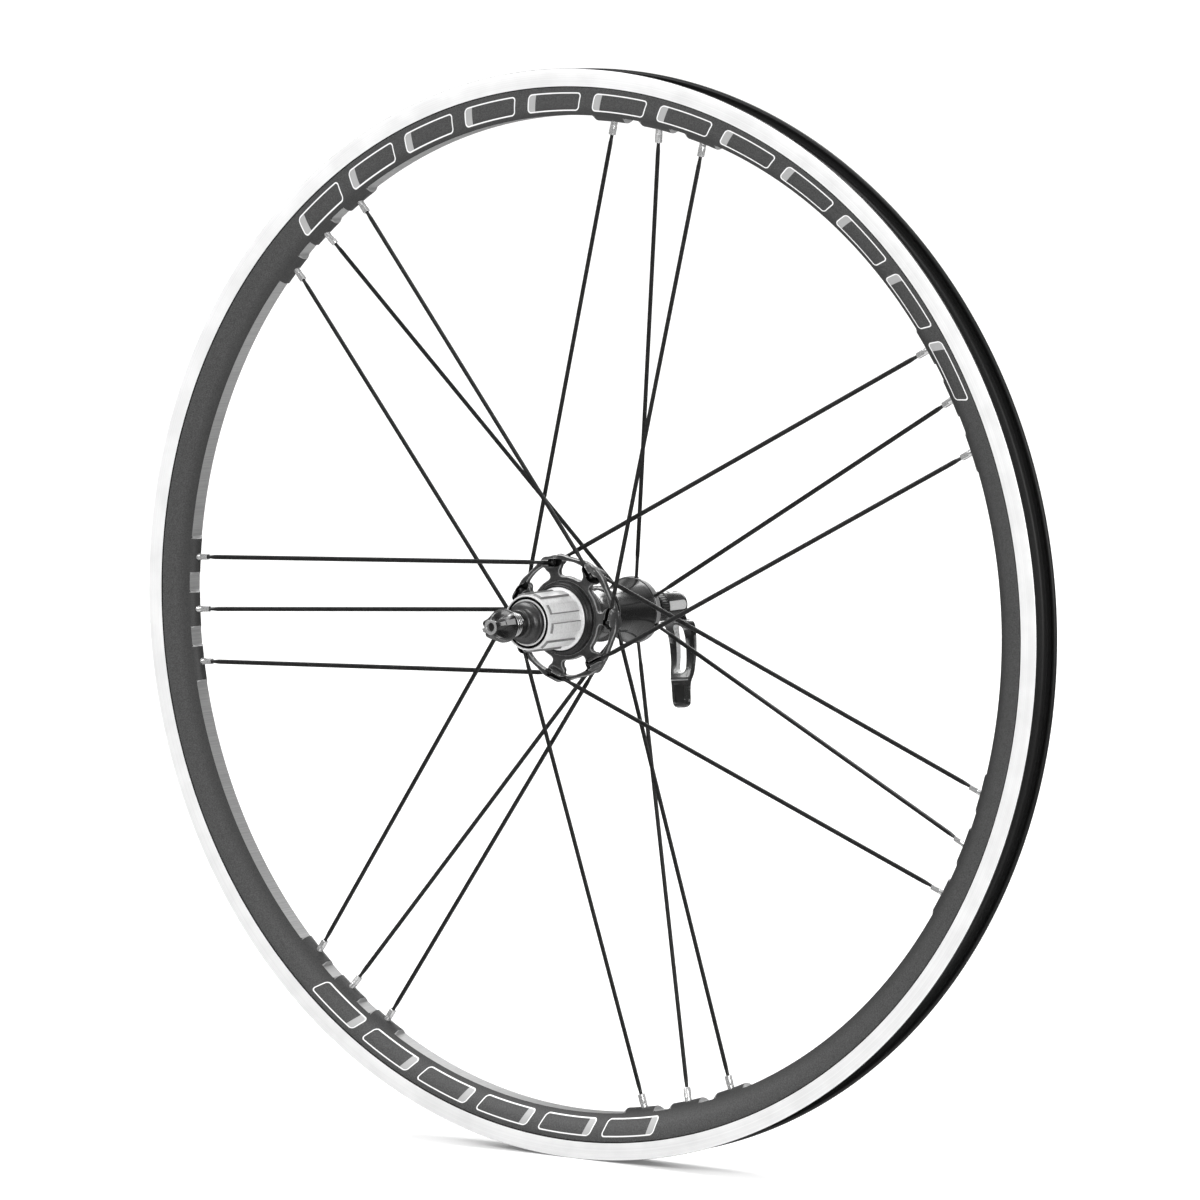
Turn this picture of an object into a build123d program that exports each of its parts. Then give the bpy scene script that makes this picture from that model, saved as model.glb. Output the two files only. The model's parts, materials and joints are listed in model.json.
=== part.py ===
"""Rear racing-bicycle wheel: clincher rim, 21 straight-pull spokes in seven groups of three,
splined freehub and quick-release skewer. Millimetres. The axle lies along Y with the drive side
towards -Y, the origin is on the axle in the rim's middle plane, and Z is up."""

import os
from math import atan2, cos, degrees, radians, sin

from build123d import *

# ---- general ----
FIT = 0.03  # radial gap left between two pieces that are fitted together
SPOKE_GROUPS = 7
GROUP_PITCH = 360 / SPOKE_GROUPS
FIRST_GROUP_ANGLE = 130.75  # degrees from +X towards +Z, centre of one group of three spokes

# ---- rim ----
RIM_OUTER_RADIUS = 317.0
RIM_HALF_WIDTH = 11.3
BRAKE_TRACK_INNER_RADIUS = 306.5
BEAD_SEAT_RADIUS = 311.0
WELL_FLOOR_RADIUS = 305.4
RIM_WALL = 1.5
NOSE_HALF_WIDTH = 4.5
LAND_CREST_RADIUS = 287.3
MILLED_FLOOR_RADIUS = 290.2
LAND_ANGLE = 3.98  # degrees of full-height rim around each nipple
VALVE_HOLE_RADIUS = 3.25
VALVE_ANGLE = 2.18

# ---- spokes and nipples ----
SPOKE_SPREAD = 6.495  # degrees between neighbouring spokes of a group at the rim
DRIVE_HEAD_LAG = 82.0  # degrees between a drive spoke's group and its head at the hub
DRIVE_HEAD_RADIUS = 32.6
FRONT_SPOKE_Y = -21.0
BACK_SPOKE_Y = -15.0
LEFT_SPOKE_Y = 48.4
LEFT_HEAD_RADIUS = 15.75
SPOKE_ROUND_RADIUS = 1.0
SPOKE_HEAD_RADIUS = 1.9
SPOKE_HEAD_LENGTH = 1.6
BLADE_HALF_WIDTH = 1.35
BLADE_HALF_THICKNESS = 0.62
BLADE_TAPER = 5.0
HUB_ROUND_LENGTH = 14.0
RIM_ROUND_LENGTH = 15.0
NIPPLE_TIP_RADIUS = 279.8  # distance of the nipple's inner tip from the axle
NIPPLE_LENGTH = 16.2
NIPPLE_BASE_RADIUS = 2.0
NIPPLE_HALF_FLATS = 1.7
NIPPLE_FLAT_LENGTH = 5.6
NIPPLE_HEAD_RADIUS = 2.8
NIPPLE_HEAD_LENGTH = 2.4
NIPPLE_BORE_RADIUS = 1.05
NIPPLE_HOLE_RADIUS = 2.1

# ---- hub shell ----
BOSS_RADIUS = 23.5
BOSS_FRONT_Y = -19.5
BOSS_BACK_Y = -12.0
BAND_OUTER_RADIUS = 37.0
BAND_INNER_RADIUS = 34.3
SPIDER_FRONT_Y = -19.7
SPIDER_BACK_Y = -16.3
ARM_WIDTH = 6.6
LOBE_HALF_ANGLE = 9.5
LOBE_INNER_RADIUS = 28.5
LOBE_OUTER_RADIUS = 37.0
LUG_RADIUS = 3.3
LUG_LENGTH = 9.0
HEAD_POCKET_RADIUS = 2.3
HUB_TUBE_RADIUS = 14.6
LEFT_FLANGE_RADIUS = 19.7
LEFT_FLANGE_FRONT_Y = 46.3
LEFT_FLANGE_END_Y = 50.6
SHELL_BORE_RADIUS = 11.6

# ---- wheel bearings (one cup, one cone, a ring of balls in a cage at each end) ----
DRIVE_BEARING_Y = -8.0
LEFT_BEARING_Y = 46.6
BALL_RADIUS = 1.984
BALL_PITCH_RADIUS = 11.6
BALL_COUNT = 15
GROOVE_RADIUS = 2.05
CUP_OUTER_RADIUS = 15.0
CUP_INNER_RADIUS = 12.7
CONE_OUTER_RADIUS = 10.5
BEARING_HALF_WIDTH = 3.4
CAGE_INNER_RADIUS = 10.8
CAGE_OUTER_RADIUS = 12.4
CAGE_HALF_WIDTH = 2.6
CAGE_POCKET_RADIUS = 2.12

# ---- axle ----
AXLE_RADIUS = 8.5
AXLE_FREEHUB_RADIUS = 7.5
AXLE_THREAD_RADIUS = 6.0
AXLE_END_RADIUS = 4.95
AXLE_RELIEF_RADIUS = 4.3  # groove where each end leaves its end cap
AXLE_BORE_RADIUS = 2.9
AXLE_SHOULDER_Y = -21.6
LOCKNUT_FACE_Y = 65.0  # half of the 130 mm between the frame's drop-outs
AXLE_END_LENGTH = 5.5
LEFT_RING_Y = (52.7, 57.3)
LEFT_RING_RADIUS = 13.4

# ---- freehub ----
FREEHUB_MOUTH_Y = -56.0
FREEHUB_ROOT_RADIUS = 15.95
SPLINE_RADIUS = 17.25
SPLINE_START_Y = -53.0
SPLINE_END_Y = -26.0
SPLINE_COUNT = 9
SPLINE_PITCH = 40.0
SPLINE_FIRST_ANGLE = 30.0
SPLINE_WIDTH = 20.0
NARROW_SPLINE_WIDTH = 14.0
COLLAR_RADIUS = 18.4
COLLAR_END_Y = -19.7
LOCKRING_THREAD_RADIUS = 15.0
SLEEVE_RADIUS = 13.4
LOCKRING_THREAD_DEPTH = 8.0
CARRIER_RADIUS = 15.7
CARRIER_BORE_RADIUS = 9.2
CARRIER_END_Y = -12.8
FREEHUB_BEARING_RADIUS = 12.0
FREEHUB_BEARING_WIDTH = 5.0
FREEHUB_BEARING_YS = (-53.5, -24.6)
FREEHUB_BALL_RADIUS = 1.35
FREEHUB_BALL_PITCH_RADIUS = 9.75
FREEHUB_BALL_COUNT = 16
FREEHUB_GROOVE_RADIUS = 1.42
INNER_RACE_OUTER_RADIUS = 9.1
OUTER_RACE_INNER_RADIUS = 10.4
SEAL_RADIUS = 21.3
SEAL_YS = (-24.6, -19.9)

# ---- ratchet: three pawls in the freehub and 36 teeth in the hub shell ----
RATCHET_TEETH = 36
RATCHET_TIP_RADIUS = 16.6
RATCHET_ROOT_RADIUS = 17.8
RATCHET_OUTER_RADIUS = 20.5
RATCHET_TIP_ANGLE = 0.9
RATCHET_ROOT_ANGLE = 8.7
RATCHET_YS = (-19.1, -12.4)
PAWL_COUNT = 3
PAWL_PIVOT_RADIUS = 14.0
PAWL_BARREL_RADIUS = 1.5
PAWL_LENGTH = 6.0
PAWL_THICKNESS = 1.9
PAWL_REST_ANGLE = 11.5  # degrees the folded pawl points outwards of the tangent
PAWL_YS = (-18.6, -13.4)
PAWL_NECK_RADIUS = 0.75
PAWL_SLOT = 1.2
PAWL_SPRING_RADIUS = 15.3
PAWL_SPRING_WIRE = 0.3
PAWL_SPRING_GAP_ANGLE = 16.0

# ---- skewer ----
ROD_RADIUS = 2.5
ROD_END_Y = -89.0
SKEWER_TURN = 5.0  # how far the skewer, with its lever, stands turned about the axle
PIVOT_Y = 88.6
CAM_OFFSET = 1.0
CAM_RADIUS = 3.0
CAM_LARGE_JOURNAL = 4.1
CAM_SMALL_JOURNAL = 1.9
CAM_CLEARANCE = 0.05
EYE_HALF_THICKNESS = 2.4
CAP_FACE_Y = 68.0
CAP_RING_END_Y = 75.4
CAP_RING_RADIUS = 8.6
CAP_RING_BORE = 6.6
CAP_TEETH = 24
HOUSING_RADIUS = 8.8
HOUSING_END_Y = 97.0
HOUSING_DOME_Y = 90.5
HOUSING_TIP_RADIUS = 2.6
HOUSING_SLOT_HALF = 4.2
HOUSING_TOP_SLOT_Y = 79.5  # the slot reaches this deep on top, where the open lever lies
HOUSING_BOTTOM_SLOT_Y = 85.0
HOUSING_SPIGOT_RADIUS = 6.57
HOUSING_RECESS_RADIUS = 5.9  # clears a 10 mm drop-out's mate on the axle end
HOUSING_RECESS_END_Y = 77.6
LEVER_HEAD_RADIUS = 8.1
LEVER_HEAD_HALF = 4.05
LEVER_SLIT_HALF = 2.56
LEVER_NECK_Z = -9.3  # below this height the lever is wider than the barrel's slot
LEVER_SLOT_HALF = 3.4
LEVER_SLOT_ZS = (-15.4, -37.6)  # centres of the long opening's round ends
# seen from the side, as (y, z): the inner edge down to the tip, then the outer edge back up
LEVER_SIDE_OUTLINE = (
    (PIVOT_Y - 3.0, -7.4), (PIVOT_Y - 2.6, -9.8), (92.2, -12.6), (94.4, -16.5), (95.4, -21.0),
    (95.6, -27.0), (94.9, -34.0), (93.2, -40.0), (91.6, -44.5), (90.6, -50.0), (90.3, -56.0),
    (90.6, -60.0), (91.7, -61.2), (93.2, -61.0), (94.2, -59.4), (94.6, -52.0), (95.6, -45.5),
    (97.6, -39.0), (99.4, -31.0), (100.0, -24.0), (99.8, -17.0), (98.9, -11.5), (97.5, -8.6),
    (PIVOT_Y + 6.6, -4.4), (PIVOT_Y + 5.0, -3.6), (PIVOT_Y, -3.0),
)
# seen along the axle, as (x, z): one edge from the neck down to the tip
LEVER_EDGE = (
    (LEVER_HEAD_HALF, LEVER_NECK_Z), (7.2, LEVER_NECK_Z - 0.3), (8.4, -11.2), (8.7, -15.0),
    (8.3, -25.0), (7.7, -34.0), (7.2, -41.6), (5.9, -44.6), (5.3, -52.0), (5.1, -58.5),
    (4.0, -60.6), (2.2, -61.2),
)
LEVER_SPRING_YS = (71.0, 77.1)
LEVER_SPRING_RADII = (3.4, 4.8)
LEVER_SPRING_WIRE = 0.35

# ---- skewer nut ----
NUT_INNER_Y = -77.0
NUT_OUTER_Y = -91.0
NUT_RADIUS = 9.8
NUT_TIP_RADIUS = 4.3
NUT_HOLE_RADIUS = 2.62
NUT_FLUTES = 5
NUT_FLUTE_RADIUS = 4.6
NUT_FLUTE_LENGTH = 16.0
NUT_FLUTE_CENTRE = (11.6, -87.6)
NUT_FLUTE_TILT = -24.0
NUT_FLUTE_ANGLE = 54.0
NUT_FACET_SIZE = (1.4, 4.2, 2.4)
NUT_FACET_CENTRE = (8.9, -80.4)
NUT_FACET_TILT = -14.0
NUT_FACET_ANGLE = 18.0
INSERT_RADIUS = 4.2
INSERT_YS = (-88.0, -78.4)
THREAD_GAP = 0.06
NUT_SPRING_YS = (-67.6, -76.2)
NUT_SPRING_RADII = (6.35, 7.9)
NUT_SPRING_WIRE = 0.5
SPRING_TURNS = 4


def turned(*points):
    """Solid of revolution about the axle from an outline of (radius, y) points."""
    outline = make_face(Polyline(*points, close=True))
    return revolve(outline, Axis.Y)


def ring(inner, outer, y_start, y_end):
    """Plain ring about the axle."""
    return turned((inner, y_start), (outer, y_start), (outer, y_end), (inner, y_end))


def torus_groove(pitch_radius, y, radius):
    """Round groove swept about the axle, for bearing races."""
    circle = Pos(pitch_radius, y) * Circle(radius)
    return revolve(circle, Axis.Y)


def about_axle(shape, angle):
    """Turn a shape about the axle: positive angles go from +X towards +Z."""
    return Rot(0, -angle, 0) * shape


def polar(radius, angle, y=0.0):
    """Point at a radius and angle about the axle."""
    return Vector(radius * cos(radians(angle)), y, radius * sin(radians(angle)))


def flat_outline(points, y_start, y_end):
    """Prism along the axle from (x, z) points."""
    face = make_face(Polyline(*[(x, -z) for x, z in points], close=True))
    plate = extrude(face, y_end - y_start)
    return Pos(0, y_start, 0) * (Rot(-90, 0, 0) * plate)


def cross_cylinder(radius, x_start, x_end, y, z=0.0):
    """Cylinder whose axis runs along X."""
    bar = Cylinder(radius, x_end - x_start)
    return Pos((x_start + x_end) / 2, y, z) * (Rot(0, 90, 0) * bar)


def spoke_ends():
    """Head point and rim point of each spoke, as three lists: drive front, drive back, left."""
    front = []
    back = []
    left = []
    for group in range(SPOKE_GROUPS):
        angle = FIRST_GROUP_ANGLE - group * GROUP_PITCH
        front.append((
            polar(DRIVE_HEAD_RADIUS, angle - DRIVE_HEAD_LAG, FRONT_SPOKE_Y),
            polar(NIPPLE_TIP_RADIUS, angle - SPOKE_SPREAD, -0.6),
        ))
        back.append((
            polar(DRIVE_HEAD_RADIUS, angle + DRIVE_HEAD_LAG, BACK_SPOKE_Y),
            polar(NIPPLE_TIP_RADIUS, angle + SPOKE_SPREAD, -0.4),
        ))
        left.append((
            polar(LEFT_HEAD_RADIUS, angle, LEFT_SPOKE_Y),
            polar(NIPPLE_TIP_RADIUS, angle, 1.4),
        ))
    return front, back, left


def spoke_plane(start, end):
    """Plane at the spoke's head with Z along the spoke and X in the wheel's plane."""
    along = (end - start).normalized()
    across = along.cross(Vector(0, 1, 0)).normalized()
    return Plane(origin=start, x_dir=across, z_dir=along)


# ---- rim ----

def rim():
    """Hollow double-wall clincher rim, milled low between the lands and drilled for nipples and valve."""
    half = RIM_HALF_WIDTH
    wall = RIM_WALL
    right = [
        (LAND_CREST_RADIUS + 1.6, NOSE_HALF_WIDTH),
        (MILLED_FLOOR_RADIUS + 2.6, NOSE_HALF_WIDTH + 2.1),
        (297.2, 8.7),
        (301.8, 10.2),
        (BRAKE_TRACK_INNER_RADIUS - 0.8, half - 0.35),
        (BRAKE_TRACK_INNER_RADIUS, half - 0.35),
        (BRAKE_TRACK_INNER_RADIUS + 0.3, half),
        (RIM_OUTER_RADIUS - 0.5, half),
        (RIM_OUTER_RADIUS, half - 0.5),
        (RIM_OUTER_RADIUS, half - 1.3),
        (RIM_OUTER_RADIUS - 0.9, half - 2.4),
        (RIM_OUTER_RADIUS - 1.9, half - 2.4),
        (RIM_OUTER_RADIUS - 3.0, half - wall),
        (BEAD_SEAT_RADIUS, half - wall),
        (BEAD_SEAT_RADIUS - 0.6, half - 4.2),
        (WELL_FLOOR_RADIUS + 0.4, half - 6.2),
        (WELL_FLOOR_RADIUS, half - 7.4),
    ]
    left = [(r, -y) for r, y in reversed(right)]
    crest = LAND_CREST_RADIUS
    nose = [(crest + 0.5, -NOSE_HALF_WIDTH + 1.2), (crest, -1.6), (crest, 1.6),
            (crest + 0.5, NOSE_HALF_WIDTH - 1.2)]
    body = turned(*right, *left, *nose)
    cavity_right = [
        (MILLED_FLOOR_RADIUS + 1.9, 3.2),
        (MILLED_FLOOR_RADIUS + 4.0, NOSE_HALF_WIDTH + 1.2),
        (298.2, 7.4),
        (302.4, 8.6),
        (307.0, half - wall - 0.4),
        (309.3, half - wall - 0.4),
        (309.3, half - 3.1),
        (305.1, half - 5.0),
        (WELL_FLOOR_RADIUS - 1.3, half - 5.9),
        (WELL_FLOOR_RADIUS - 1.3, 0.0),
    ]
    cavity_left = [(r, -y) for r, y in reversed(cavity_right[:-1])]
    body -= turned(*cavity_right, *cavity_left)
    crest_cutter = ring(LAND_CREST_RADIUS - 2, MILLED_FLOOR_RADIUS, -9, 9)
    for land_angle in land_angles():
        crest_cutter -= land_block(land_angle)
    body -= crest_cutter
    drillings = [nipple_hole(start, end) for group in spoke_ends() for start, end in group]
    body -= drillings
    valve = about_axle(Pos(300, 0, 0) * (Rot(0, 90, 0) * Cylinder(VALVE_HOLE_RADIUS, 40)), VALVE_ANGLE)
    body -= valve
    return body


def land_angles():
    """Angle of every nipple's full-height land on the rim's inner edge."""
    angles = []
    for group in range(SPOKE_GROUPS):
        centre = FIRST_GROUP_ANGLE - group * GROUP_PITCH
        angles += [centre - SPOKE_SPREAD, centre, centre + SPOKE_SPREAD]
    return angles


def land_block(angle):
    """Block that keeps the rim's full height at one nipple, sloped at both ends."""
    crest_half = LAND_CREST_RADIUS * radians(LAND_ANGLE) / 2
    foot_half = crest_half + 1.6
    low = LAND_CREST_RADIUS - 3
    high = MILLED_FLOOR_RADIUS + 1
    outline = [(low, -crest_half), (LAND_CREST_RADIUS, -crest_half), (high, -foot_half),
               (high, foot_half), (LAND_CREST_RADIUS, crest_half), (low, crest_half)]
    return about_axle(flat_outline(outline, -10, 10), angle)


def nipple_hole(start, end):
    """Drilling through the rim for one nipple, along its spoke."""
    along = spoke_plane(start, end)
    reach = (end - start).length
    return along * Pos(0, 0, reach + 8) * Cylinder(NIPPLE_HOLE_RADIUS, 14)


# ---- spokes ----

def nipple():
    """One nipple with its axis along Z and its tip at the origin."""
    square_end = Box(2 * NIPPLE_HALF_FLATS, 2 * NIPPLE_HALF_FLATS, NIPPLE_FLAT_LENGTH)
    square_end = Pos(0, 0, NIPPLE_FLAT_LENGTH / 2) * square_end
    tip_round = Pos(0, 0, NIPPLE_FLAT_LENGTH / 2) * Cylinder(NIPPLE_BASE_RADIUS + 0.1, NIPPLE_FLAT_LENGTH)
    square_end = square_end & tip_round
    shank_length = NIPPLE_LENGTH - NIPPLE_FLAT_LENGTH - NIPPLE_HEAD_LENGTH
    shank_start = NIPPLE_FLAT_LENGTH
    shank = Pos(0, 0, shank_start + shank_length / 2) * Cylinder(NIPPLE_BASE_RADIUS, shank_length)
    head_centre = NIPPLE_LENGTH - NIPPLE_HEAD_LENGTH / 2
    head = Pos(0, 0, head_centre) * Cylinder(NIPPLE_HEAD_RADIUS, NIPPLE_HEAD_LENGTH)
    bore = Pos(0, 0, NIPPLE_LENGTH / 2) * Cylinder(NIPPLE_BORE_RADIUS, NIPPLE_LENGTH + 2)
    return square_end + shank + head - bore


def spoke(length):
    """Straight-pull spoke along Z: head, round neck, flat blade, round threaded end."""
    head = Pos(0, 0, SPOKE_HEAD_LENGTH / 2) * Cylinder(SPOKE_HEAD_RADIUS, SPOKE_HEAD_LENGTH)
    neck = Pos(0, 0, HUB_ROUND_LENGTH / 2) * Cylinder(SPOKE_ROUND_RADIUS, HUB_ROUND_LENGTH)
    end = Pos(0, 0, length - RIM_ROUND_LENGTH / 2) * Cylinder(SPOKE_ROUND_RADIUS, RIM_ROUND_LENGTH)
    blade_start = HUB_ROUND_LENGTH + BLADE_TAPER
    blade_end = length - RIM_ROUND_LENGTH - BLADE_TAPER
    blade_section = Plane.XY.offset(blade_start) * Ellipse(BLADE_HALF_WIDTH, BLADE_HALF_THICKNESS)
    blade = extrude(blade_section, blade_end - blade_start)
    hub_taper = loft([Plane.XY.offset(HUB_ROUND_LENGTH) * Circle(SPOKE_ROUND_RADIUS), blade_section])
    rim_taper = loft([
        Plane.XY.offset(blade_end) * Ellipse(BLADE_HALF_WIDTH, BLADE_HALF_THICKNESS),
        Plane.XY.offset(length - RIM_ROUND_LENGTH) * Circle(SPOKE_ROUND_RADIUS),
    ])
    return head + neck + hub_taper + blade + rim_taper + end


def spoke_set(ends):
    """Seven equal spokes, placed."""
    start, tip = ends[0]
    length = (tip - start).length + NIPPLE_LENGTH - NIPPLE_HEAD_LENGTH
    pattern = spoke(length)
    return [spoke_plane(a, b) * pattern for a, b in ends]


def nipples():
    """All 21 nipples, placed on their spokes."""
    pattern = nipple()
    placed = []
    for group in spoke_ends():
        for start, end in group:
            reach = (end - start).length
            placed.append(spoke_plane(start, end) * Pos(0, 0, reach) * pattern)
    return placed


# ---- hub shell ----

def flange_angles():
    """Angle of each lobe of the drive flange, half-way between the two heads it holds."""
    lobe = FIRST_GROUP_ANGLE - DRIVE_HEAD_LAG + (2 * DRIVE_HEAD_LAG - 3 * GROUP_PITCH) / 2
    return [lobe - index * GROUP_PITCH for index in range(SPOKE_GROUPS)]


def sector(inner, outer, half_angle, y_start, y_end, angle):
    """Ring sector about the axle, centred on an angle."""
    wide = ring(inner, outer, y_start, y_end)
    reach = outer * 2
    edge = radians(half_angle)
    wedge = flat_outline([(0, 0), (reach * cos(edge), -reach * sin(edge)),
                          (reach * cos(edge), reach * sin(edge))], y_start - 1, y_end + 1)
    return about_axle(wide & wedge, angle)


def drive_flange():
    """Flat spider: outer band, seven arms and seven lobes."""
    spider = ring(BAND_INNER_RADIUS, BAND_OUTER_RADIUS, SPIDER_FRONT_Y, SPIDER_BACK_Y)
    thickness = SPIDER_BACK_Y - SPIDER_FRONT_Y
    arm_length = BAND_INNER_RADIUS - BOSS_RADIUS + 4
    arm = Pos(BOSS_RADIUS - 2 + arm_length / 2, (SPIDER_FRONT_Y + SPIDER_BACK_Y) / 2, 0)
    arm = arm * Box(arm_length, thickness, ARM_WIDTH)
    for angle in flange_angles():
        spider += about_axle(arm, angle)
        spider += sector(LOBE_INNER_RADIUS, LOBE_OUTER_RADIUS, LOBE_HALF_ANGLE,
                         SPIDER_FRONT_Y, SPIDER_BACK_Y, angle)
    return spider


def lug(start, end):
    """Round lug that holds one drive spoke's head."""
    frame = spoke_plane(start, end)
    return frame * Pos(0, 0, SPOKE_HEAD_LENGTH + LUG_LENGTH / 2 - 1.5) * Cylinder(LUG_RADIUS, LUG_LENGTH)


def lug_opening(start, end, outwards):
    """Head pocket, spoke tunnel and the slot the spoke drops in through."""
    frame = spoke_plane(start, end)
    pocket = Pos(0, 0, SPOKE_HEAD_LENGTH - 4) * Cylinder(HEAD_POCKET_RADIUS, 8)
    tunnel = Pos(0, 0, 10) * Cylinder(SPOKE_ROUND_RADIUS + 0.35, 24)
    slot_depth = 6.0
    slot = Pos(0, outwards * slot_depth / 2, 10) * Box(1.5, slot_depth, 24)
    return frame * (pocket + tunnel + slot)


def hub_shell():
    """Boss, tube and left flange in one turned piece, with the drive flange, lugs and spoke holes."""
    front, back, left = spoke_ends()
    boss_bore = RATCHET_OUTER_RADIUS + FIT
    cup_bore = CUP_OUTER_RADIUS + FIT
    boss = turned(
        (boss_bore, BOSS_FRONT_Y), (BOSS_RADIUS - 0.8, BOSS_FRONT_Y), (BOSS_RADIUS, BOSS_FRONT_Y + 0.8),
        (BOSS_RADIUS, BOSS_BACK_Y - 2.5), (BOSS_RADIUS - 2.5, BOSS_BACK_Y), (18.2, BOSS_BACK_Y + 1.5),
        (17.6, -5.0), (HUB_TUBE_RADIUS, 1.0), (HUB_TUBE_RADIUS, 13.6),
        (16.4, 14.2), (16.4, 16.2), (HUB_TUBE_RADIUS, 16.8),
        (HUB_TUBE_RADIUS, 31.0), (15.6, 36.5), (17.4, 42.0), (18.9, LEFT_FLANGE_FRONT_Y),
        (LEFT_FLANGE_RADIUS, LEFT_FLANGE_FRONT_Y + 0.3), (LEFT_FLANGE_RADIUS, LEFT_FLANGE_END_Y - 0.6),
        (LEFT_FLANGE_RADIUS - 0.6, LEFT_FLANGE_END_Y), (cup_bore + 0.6, LEFT_FLANGE_END_Y),
        (cup_bore + 0.6, LEFT_FLANGE_END_Y + 1.0), (cup_bore, LEFT_FLANGE_END_Y + 1.0),
        (cup_bore, LEFT_BEARING_Y - BEARING_HALF_WIDTH - FIT),
        (SHELL_BORE_RADIUS, LEFT_BEARING_Y - BEARING_HALF_WIDTH - FIT),
        (SHELL_BORE_RADIUS, DRIVE_BEARING_Y + BEARING_HALF_WIDTH + FIT),
        (cup_bore, DRIVE_BEARING_Y + BEARING_HALF_WIDTH + FIT), (cup_bore, RATCHET_YS[1] + FIT),
        (boss_bore, RATCHET_YS[1] + FIT),
    )
    shell = boss + drive_flange()
    shell += [lug(start, end) for start, end in front + back]
    shell -= [lug_opening(start, end, -1) for start, end in front]
    shell -= [lug_opening(start, end, 1) for start, end in back]
    for start, end in left:
        frame = spoke_plane(start, end)
        hole = Pos(0, 0, 3) * Cylinder(SPOKE_ROUND_RADIUS + 0.3, 12)
        pocket = Pos(0, 0, 0.55) * Cylinder(SPOKE_HEAD_RADIUS + 0.3, 2.5)
        shell -= frame * (hole + pocket)
    return shell


def cup(y):
    """Outer bearing ring pressed in the hub shell."""
    body = ring(CUP_INNER_RADIUS, CUP_OUTER_RADIUS, y - BEARING_HALF_WIDTH, y + BEARING_HALF_WIDTH)
    return body - torus_groove(BALL_PITCH_RADIUS, y, GROOVE_RADIUS)


def cone(y):
    """Inner bearing ring on the axle."""
    body = ring(AXLE_RADIUS + FIT, CONE_OUTER_RADIUS, y - BEARING_HALF_WIDTH - 0.6,
                y + BEARING_HALF_WIDTH + 0.6)
    return body - torus_groove(BALL_PITCH_RADIUS, y, GROOVE_RADIUS)


def ball_ring(y, pitch_radius, radius, count):
    """Equally spaced balls of one bearing."""
    ball = Sphere(radius)
    return [Location(polar(pitch_radius, 360 * (index + 0.5) / count, y)) * ball for index in range(count)]


def ball_cage(y):
    """Retainer ring with a round pocket for each ball."""
    body = ring(CAGE_INNER_RADIUS, CAGE_OUTER_RADIUS, y - CAGE_HALF_WIDTH, y + CAGE_HALF_WIDTH)
    pocket = cross_cylinder(CAGE_POCKET_RADIUS, CAGE_INNER_RADIUS - 2, CAGE_OUTER_RADIUS + 2, y)
    for index in range(BALL_COUNT):
        body -= about_axle(pocket, 360 * (index + 0.5) / BALL_COUNT)
    return body


def left_dust_seal():
    """Lipped seal that closes the left bearing."""
    inner = CONE_OUTER_RADIUS + 0.06
    return turned(
        (inner, 50.2), (CUP_OUTER_RADIUS, 50.2), (CUP_OUTER_RADIUS, 51.4), (12.4, 51.9), (inner, 51.4),
    )


# ---- axle ----

def axle_shaft():
    """Hollow stepped axle."""
    face = LOCKNUT_FACE_Y
    end = face + AXLE_END_LENGTH
    return turned(
        (AXLE_BORE_RADIUS, -end), (AXLE_END_RADIUS - 0.5, -end), (AXLE_END_RADIUS, -end + 0.5),
        (AXLE_END_RADIUS, -face), (AXLE_RELIEF_RADIUS, -face), (AXLE_RELIEF_RADIUS, -face + 0.5),
        (AXLE_THREAD_RADIUS, -face + 0.5), (AXLE_THREAD_RADIUS, -56.3),
        (AXLE_FREEHUB_RADIUS, -56.3), (AXLE_FREEHUB_RADIUS, AXLE_SHOULDER_Y),
        (AXLE_RADIUS, AXLE_SHOULDER_Y), (AXLE_RADIUS, 57.4), (AXLE_THREAD_RADIUS, 57.4),
        (AXLE_THREAD_RADIUS, face - 0.5), (AXLE_RELIEF_RADIUS, face - 0.5), (AXLE_RELIEF_RADIUS, face),
        (AXLE_END_RADIUS, face), (AXLE_END_RADIUS, end - 0.5),
        (AXLE_END_RADIUS - 0.5, end), (AXLE_BORE_RADIUS, end),
    )


def drive_end_cap():
    """Dished cap that seats the right drop-out."""
    bore = AXLE_THREAD_RADIUS + FIT
    lip = AXLE_END_RADIUS + FIT
    face = -LOCKNUT_FACE_Y
    return turned(
        (lip, face), (8.0, face), (8.5, face + 0.5), (8.5, -60.6), (10.6, -59.0), (11.9, -58.4),
        (12.3, -57.9), (12.3, -56.9), (8.6, -56.9), (8.6, -56.35), (bore, -56.35),
        (bore, face + 0.45), (lip, face + 0.45),
    )


def left_end_cap():
    """Flanged cap that seats the left drop-out."""
    bore = AXLE_THREAD_RADIUS + FIT
    lip = AXLE_END_RADIUS + FIT
    face = LOCKNUT_FACE_Y
    return turned(
        (bore, 57.45), (11.4, 57.45), (11.8, 57.9), (11.8, 59.2), (8.9, 61.0), (8.9, face - 0.5),
        (8.4, face), (lip, face), (lip, face - 0.45), (bore, face - 0.45),
    )


def left_adjuster_ring():
    """Split ring that sets the bearing play."""
    start, end = LEFT_RING_Y
    body = ring(AXLE_RADIUS + FIT, LEFT_RING_RADIUS, start, end)
    middle = (start + end) / 2
    split = Pos(0, middle, 11) * Box(1.2, 8, 8)
    screw_hole = cross_cylinder(1.3, -12, 12, middle, 10.9)
    head_seat = cross_cylinder(2.1, 4.4, 12, middle, 10.9)
    return body - split - screw_hole - head_seat


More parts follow.
